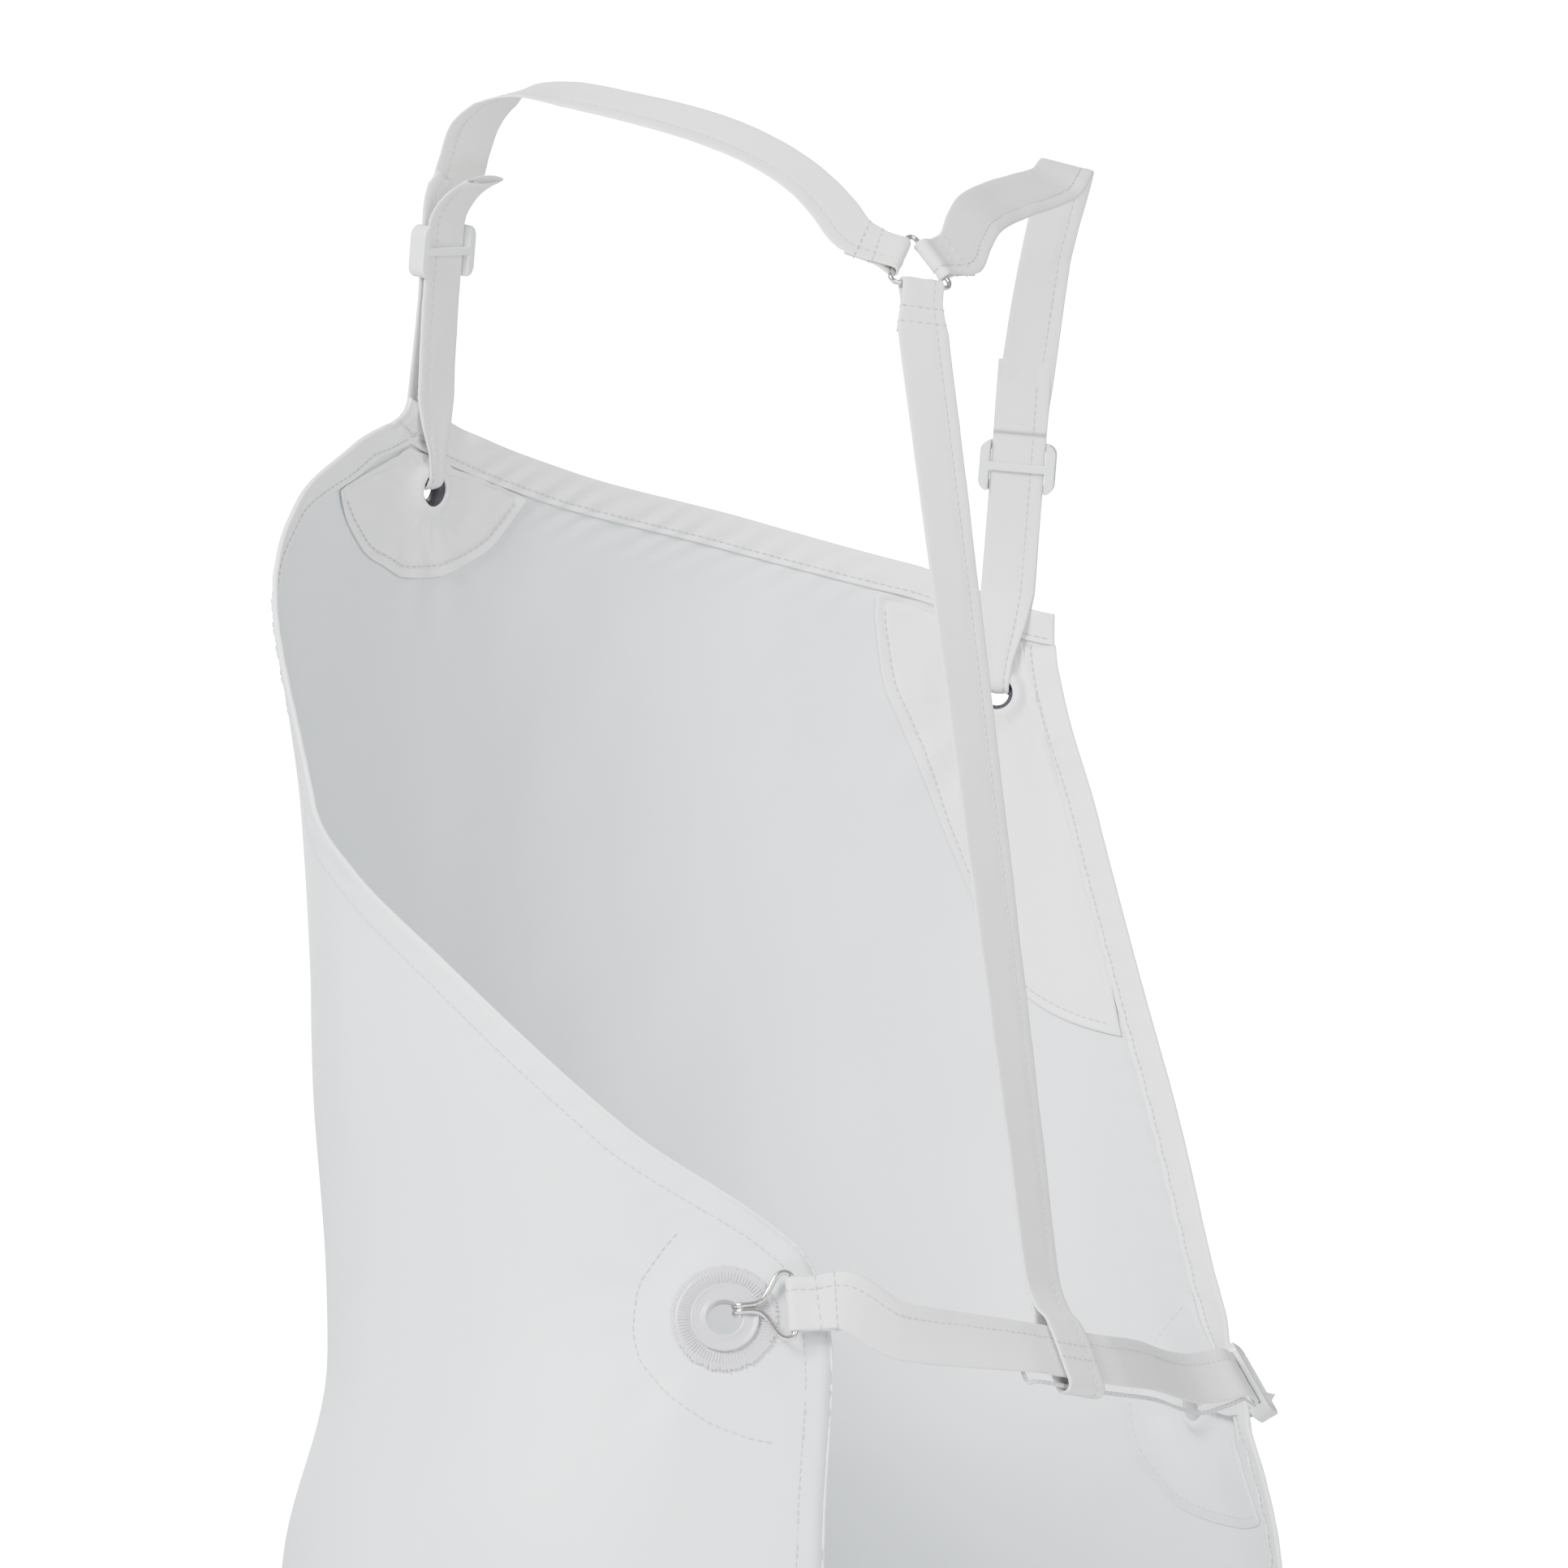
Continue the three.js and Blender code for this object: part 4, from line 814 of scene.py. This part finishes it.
def smooth_run(stations, step=STRAP_STEP):
    """Finer stations on a smooth line through the coarse ones, with distances along it."""
    middles = [middle for middle, _ in stations]
    lengths = [(b - a).length for a, b in zip(middles, middles[1:])]
    places = [sum(lengths[:i]) for i in range(len(middles))]
    slopes = []
    for i in range(len(middles)):
        a = max(i - 1, 0)
        b = min(i + 1, len(middles) - 1)
        slopes.append((middles[b] - middles[a]) / (places[b] - places[a]))
    run = []
    for i, length in enumerate(lengths):
        count = max(1, round(length / step))
        for k in range(count + (1 if i == len(lengths) - 1 else 0)):
            t = k / count
            point = (1 + 2 * t) * (1 - t) ** 2 * middles[i] + t * (1 - t) ** 2 * length * slopes[i]
            point += t * t * (3 - 2 * t) * middles[i + 1] + t * t * (t - 1) * length * slopes[i + 1]
            half = stations[i][1].lerp(stations[i + 1][1], t)
            width = mix(stations[i][1].length, stations[i + 1][1].length, t)
            run.append([point, half.normalized() * width, places[i] + t * length])
    for i, entry in enumerate(run):
        along = (run[min(i + 1, len(run) - 1)][0] - run[max(i - 1, 0)][0]).normalized()
        entry[1] = (entry[1] - along * entry[1].dot(along)).normalized() * entry[1].length
        entry.append(entry[1].cross(along).normalized())
        entry.append(along)
    return run


def seam_side(node):
    """The side of a strap's middle that its long seam lies on, 1 or -1."""
    return -1 if node == "back_strap" else 1


def strap_piece(name, node, run, body, seed, open_end=True):
    """Flattened tube along a run of stations, its free end left open."""
    total = run[-1][2]
    loops = []
    for middle, half, place, face, _ in run:
        width = half.length
        bunch = smooth((12.2 * MM - width) / (5 * MM))
        open_share = smooth((place - total + 16 * MM) / (16 * MM)) if open_end else 0
        near_end = min(place, total - place) < 90 * MM
        # The back strap is drawn tight where it turns round the wire and round the belt.
        slack = 0.2 if near_end and node == "back_strap" else 1
        loop = []
        for side in (1, -1):
            section = STRAP_SECTION[:-1] if side == 1 else STRAP_SECTION[:0:-1]
            for share, thick in section:
                share *= seam_side(node)
                sway = noise.noise(Vector((place * 45, share * 1.3, seed)))
                crease = noise.noise(Vector((place * 160, share * 2.5, seed + 9)))
                ruck = math.sin(share * 11 + seed) * bunch
                lift = (0.3 * sway + 0.16 * crease) * MM * slack + 0.35 * MM * ruck
                puff = 1 + 2.6 * open_share * (1 - share * share)
                loop.append(middle + half * share + face * (side * thick * MM * puff + lift))
        loops.append(loop)
    if open_end:
        # The tube's inside: a mouth just within the cut end, then a floor a few stations deeper.
        for back, flatten in ((0, 0.22), (4, 0.3)):
            base = loops[len(run) - 1 - back]
            middle = sum(base, Vector()) / len(base)
            face = run[len(run) - 1 - back][3]
            loops.append([point - face * (point - middle).dot(face) * flatten for point in base])
    count = len(loops[0])
    faces = [tuple(range(count))]
    for i in range(len(loops) - 1):
        for k in range(count):
            a = i * count + k
            b = i * count + (k + 1) % count
            faces.append((a, b, b + count, a + count))
    faces.append(tuple(range((len(loops) - 1) * count, len(loops) * count)))
    strap = finished_mesh(name, [point for loop in loops for point in loop], faces)
    strap.data.materials.append(strap_cloth)
    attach(strap, body)
    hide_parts(node)
    return strap


NAPE = sum(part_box("nape_ring"), Vector()) / 2
HOOK_BAR = Vector(next(joint for joint in frame["joints"] if joint["name"] == "hook_swing")["pos_m"])
runs = {
    "left_shoulder_strap": smooth_run(strap_rings("left_shoulder_strap", NAPE)),
    "right_shoulder_strap": smooth_run(strap_rings("right_shoulder_strap", NAPE)),
    "waist_belt": smooth_run(strap_rings("waist_belt", HOOK_BAR)),
    "back_strap": smooth_run(strap_rings("back_strap", NAPE)),
}
STRAP_BODIES = {"back_strap": "back_strap_body"}
for seed, (node, run) in enumerate(runs.items()):
    strap_piece(node + "_tube", node, run, STRAP_BODIES.get(node, "root"), seed * 17, node != "back_strap")

# ------------------------------------------------------------------ slide adjusters
# Three white moulded slides: a frame of rounded bars with a middle bar set on the wearer's
# side, which the strap runs over.
def moulded_plastic(name, color):
    material, shader = plain_material(name, color, 0.32)
    shader.inputs["Coat Weight"].default_value = 0.2
    shader.inputs["Subsurface Weight"].default_value = 0.08
    shader.inputs["Subsurface Radius"].default_value = (0.002, 0.002, 0.002)
    add_grain(material, shader, 350, 0.08, 0.05 * MM, color, 0.015)
    return material


white_plastic = moulded_plastic("white_moulding", (0.66, 0.67, 0.68))


def refined_copy(name, node, body, material):
    """Copy of a CAD node with its loose triangles merged."""
    mesh = frame["nodes"][node].data.copy()
    mesh.materials.clear()
    shape = bmesh.new()
    shape.from_mesh(mesh)
    bmesh.ops.remove_doubles(shape, verts=shape.verts, dist=2e-6)
    shape.to_mesh(mesh)
    shape.free()
    piece = bpy.data.objects.new(name, mesh)
    bpy.context.collection.objects.link(piece)
    mesh.materials.append(material)
    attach(piece, body)
    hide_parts(node)
    return piece


for side in ("left", "right", "waist"):
    body = side + "_adjuster"
    slide = refined_copy(side + "_slide", side + "_slider", body, white_plastic)
    for kind, values in (
        ("REMESH", {"mode": "VOXEL", "voxel_size": 0.34 * MM}),
        ("SMOOTH", {"factor": 0.5, "iterations": 12}),
        ("DISPLACE", {"strength": 0.12 * MM, "mid_level": 0}),
    ):
        rounding = slide.modifiers.new(kind.lower(), kind)
        for key, value in values.items():
            setattr(rounding, key, value)
    settle(slide)
    slide.data.shade_smooth()

# ------------------------------------------------------------------ wire triangle and hook
# Both are bent from round wire and nickel plated. The triangle joins the three straps at the
# nape; the hook is one wire, doubled at its crook, and turns in the belt's end loop.
def nickel():
    color = (0.66, 0.645, 0.61)
    material, shader = plain_material("nickel_plate", color, 0.16, 1.0)
    add_grain(material, shader, 260, 0.06, 0.04 * MM, color, 0.12)
    return material


nickel_plate = nickel()
# The last value makes up what the rounding takes off the wire's radius.
for name, node, body, plating_depth in (
    ("nape_triangle", "nape_ring", "root", 0.06 * MM),
    ("belt_wire_hook", "belt_hook", "hook", 0.42 * MM),
):
    wire = refined_copy(name, node, body, nickel_plate)
    rounding = wire.modifiers.new("rounding", "SUBSURF")
    rounding.levels = 2
    rounding.render_levels = 2
    plating = wire.modifiers.new("plating", "DISPLACE")
    plating.strength = plating_depth
    plating.mid_level = 0
    settle(wire)
    wire.data.shade_smooth()

# ------------------------------------------------------------------ sewing
# Thread runs along hems, patches and straps, and in two rows across each strap end that is
# turned back and sewn down. The thread is white; its grey colour is painted shade of the holes it sits in.
# Painted shade: white thread coloured grey for the shade of its needle holes.
SHADED_THREAD_COLOR = (0.42, 0.425, 0.42)
thread, thread_shader = plain_material("thread", SHADED_THREAD_COLOR, 0.5)
thread_shader.inputs["Sheen Weight"].default_value = 0.3
add_grain(thread, thread_shader, 2600, 0.3, 0.06 * MM, SHADED_THREAD_COLOR, 0.05)
STITCH_PITCH = 3.6 * MM
STITCH_LENGTH = 2.9 * MM
THREAD_RADIUS = 0.34 * MM


def stitch_tree():
    """Node tree that sets one short rounded stitch at each pitch along a curve."""
    tree = bpy.data.node_groups.new("stitches", "GeometryNodeTree")
    tree.interface.new_socket("Geometry", in_out="INPUT", socket_type="NodeSocketGeometry")
    for name, default in (("Pitch", STITCH_PITCH), ("Length", STITCH_LENGTH), ("Radius", THREAD_RADIUS)):
        tree.interface.new_socket(name, in_out="INPUT", socket_type="NodeSocketFloat").default_value = default
    tree.interface.new_socket("Geometry", in_out="OUTPUT", socket_type="NodeSocketGeometry")
    nodes = tree.nodes
    link = tree.links.new
    source = nodes.new("NodeGroupInput")
    result = nodes.new("NodeGroupOutput")
    points = nodes.new("GeometryNodeCurveToPoints")
    points.mode = "LENGTH"
    stitch = nodes.new("GeometryNodeMeshUVSphere")
    stitch.inputs["Segments"].default_value = 6
    stitch.inputs["Rings"].default_value = 5
    stretch = nodes.new("ShaderNodeCombineXYZ")
    ratio = nodes.new("ShaderNodeMath")
    ratio.operation = "DIVIDE"
    shaped = nodes.new("GeometryNodeTransform")
    place = nodes.new("GeometryNodeInstanceOnPoints")
    real = nodes.new("GeometryNodeRealizeInstances")
    coloured = nodes.new("GeometryNodeSetMaterial")
    coloured.inputs["Material"].default_value = thread
    half = nodes.new("ShaderNodeMath")
    half.operation = "MULTIPLY"
    half.inputs[1].default_value = 0.5
    link(source.outputs["Geometry"], points.inputs["Curve"])
    link(source.outputs["Pitch"], points.inputs["Length"])
    link(source.outputs["Radius"], stitch.inputs["Radius"])
    link(source.outputs["Length"], half.inputs[0])
    link(half.outputs["Value"], ratio.inputs[0])
    link(source.outputs["Radius"], ratio.inputs[1])
    stretch.inputs["X"].default_value = 1.15
    stretch.inputs["Y"].default_value = 1.15
    link(ratio.outputs["Value"], stretch.inputs["Z"])
    link(stitch.outputs["Mesh"], shaped.inputs["Geometry"])
    link(stretch.outputs["Vector"], shaped.inputs["Scale"])
    link(points.outputs["Points"], place.inputs["Points"])
    link(points.outputs["Rotation"], place.inputs["Rotation"])
    link(shaped.outputs["Geometry"], place.inputs["Instance"])
    link(place.outputs["Instances"], real.inputs["Geometry"])
    link(real.outputs["Geometry"], coloured.inputs["Geometry"])
    link(coloured.outputs["Geometry"], result.inputs["Geometry"])
    return tree


stitching = stitch_tree()


def stitches(name, lines, body):
    """Rows of stitches along lists of points, as one plain mesh on one body."""
    curve = bpy.data.curves.new(name + "_line", "CURVE")
    curve.dimensions = "3D"
    for line in lines:
        spline = curve.splines.new("POLY")
        spline.points.add(len(line) - 1)
        for target, point in zip(spline.points, line):
            target.co = (*point, 1)
    guide = bpy.data.objects.new(name + "_line", curve)
    bpy.context.collection.objects.link(guide)
    sewing = guide.modifiers.new("sewing", "NODES")
    sewing.node_group = stitching
    bpy.context.view_layer.update()
    mesh = bpy.data.meshes.new_from_object(guide.evaluated_get(bpy.context.evaluated_depsgraph_get()))
    bpy.data.objects.remove(guide)
    mesh.shade_smooth()
    if not mesh.materials:
        mesh.materials.append(thread)
    sewn = bpy.data.objects.new(name, mesh)
    bpy.context.collection.objects.link(sewn)
    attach(sewn, body)
    return sewn


def strap_line(run, share, side, first, last):
    """Line on one face of a strap, at a share of its half width."""
    return [middle + half * share + face * side * 0.5 * MM
            for middle, half, place, face, _ in run if first <= place <= last]


def cross_rows(run, places):
    """Rows across a strap, on both faces."""
    rows = []
    for target in places:
        middle, half, _, face, _ = min(run, key=lambda entry: abs(entry[2] - target))
        for side in (1, -1):
            rows.append([middle + half * share + face * side * 0.72 * MM for share in (-0.9, -0.3, 0.3, 0.9)])
    return rows


LOOP_ROWS = (4 * MM, 11 * MM)  # the two rows of stitches, from the strap's sewn end
LOOP_ROUND = 51 * MM  # from a strap's sewn end round its loop and back level with that end
FOOT_ROUND = 82 * MM  # the same for the loop round the belt
for node, run in runs.items():
    total = run[-1][2]
    seam = SEAM_PLACE * seam_side(node)
    lines = [strap_line(run, seam, side, 2 * MM, total - 1 * MM) for side in (1, -1)]
    rows = cross_rows(run, [*LOOP_ROWS, *(LOOP_ROUND - place for place in LOOP_ROWS)])
    if node == "back_strap":
        foot_rows = [*LOOP_ROWS, *(FOOT_ROUND - row for row in LOOP_ROWS)]
        rows += cross_rows(run, [total - place for place in foot_rows])
    stitches(node + "_stitches", lines + rows, STRAP_BODIES.get(node, "root"))

HEM_STITCH = 11.2  # mm from the panel's edge
hem_lines = []
for side_offset in (-1.72, 0.48):
    hem_lines.append([on_top(a, HEM_STITCH, side_offset * MM) for a in spread(0.012, 0.988, 1 / 300)])
    hem_lines.append([on_bottom(a, HEM_STITCH, side_offset * MM) for a in spread(0.01, 0.99, 1 / 300)])
    for edge, corner in ((0, RIGHT_CORNER_DROP), (1, LEFT_CORNER_DROP)):
        drops = spread(corner + HEM_FOLD, HEM_DROP - HEM_FOLD, 3 * MM)
        hem_lines.append([on_side(edge)(drop, HEM_STITCH, side_offset * MM) for drop in drops])
stitches("hem_stitches", hem_lines, "root")


def patch_lines(place):
    """Stitch line inside a patch's free edge, as seen on both faces of the cloth."""
    washer = washers[place]
    lines = []
    for side, lift in ((-1, 1.1 * MM), (1, 0.12 * MM)):
        line = []
        for k in range(PATCH_SPOKES + 1):
            angle = 2 * math.pi * k / PATCH_SPOKES
            reach = reaches[place][k % PATCH_SPOKES]
            edge_reach = reach + 9 * MM
            beyond, _ = onto_cloth(washer, edge_reach * math.cos(angle), edge_reach * math.sin(angle), side)
            radius = reach - PATCH_STITCH_INSET
            point, normal = onto_cloth(washer, radius * math.cos(angle), radius * math.sin(angle), side)
            free = beyond is not None and point is not None and not near_hem(beyond)
            if free:
                line.append(point + normal * lift)
            elif len(line) > 3:
                lines.append(line)
                line = []
        if len(line) > 3:
            lines.append(line)
    return lines


hem_points = []
hem_faces = []
for hem in hems:
    base = len(hem_points)
    hem_points += [vertex.co.copy() for vertex in hem.data.vertices]
    hem_faces += [[index + base for index in polygon.vertices] for polygon in hem.data.polygons]
hem_tree = BVHTree.FromPolygons(hem_points, hem_faces)


def near_hem(point):
    return hem_tree.find_nearest(point, 4 * MM)[0] is not None


stitches("patch_stitches", [line for place in PLACES for line in patch_lines(place)], "root")

low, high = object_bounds()
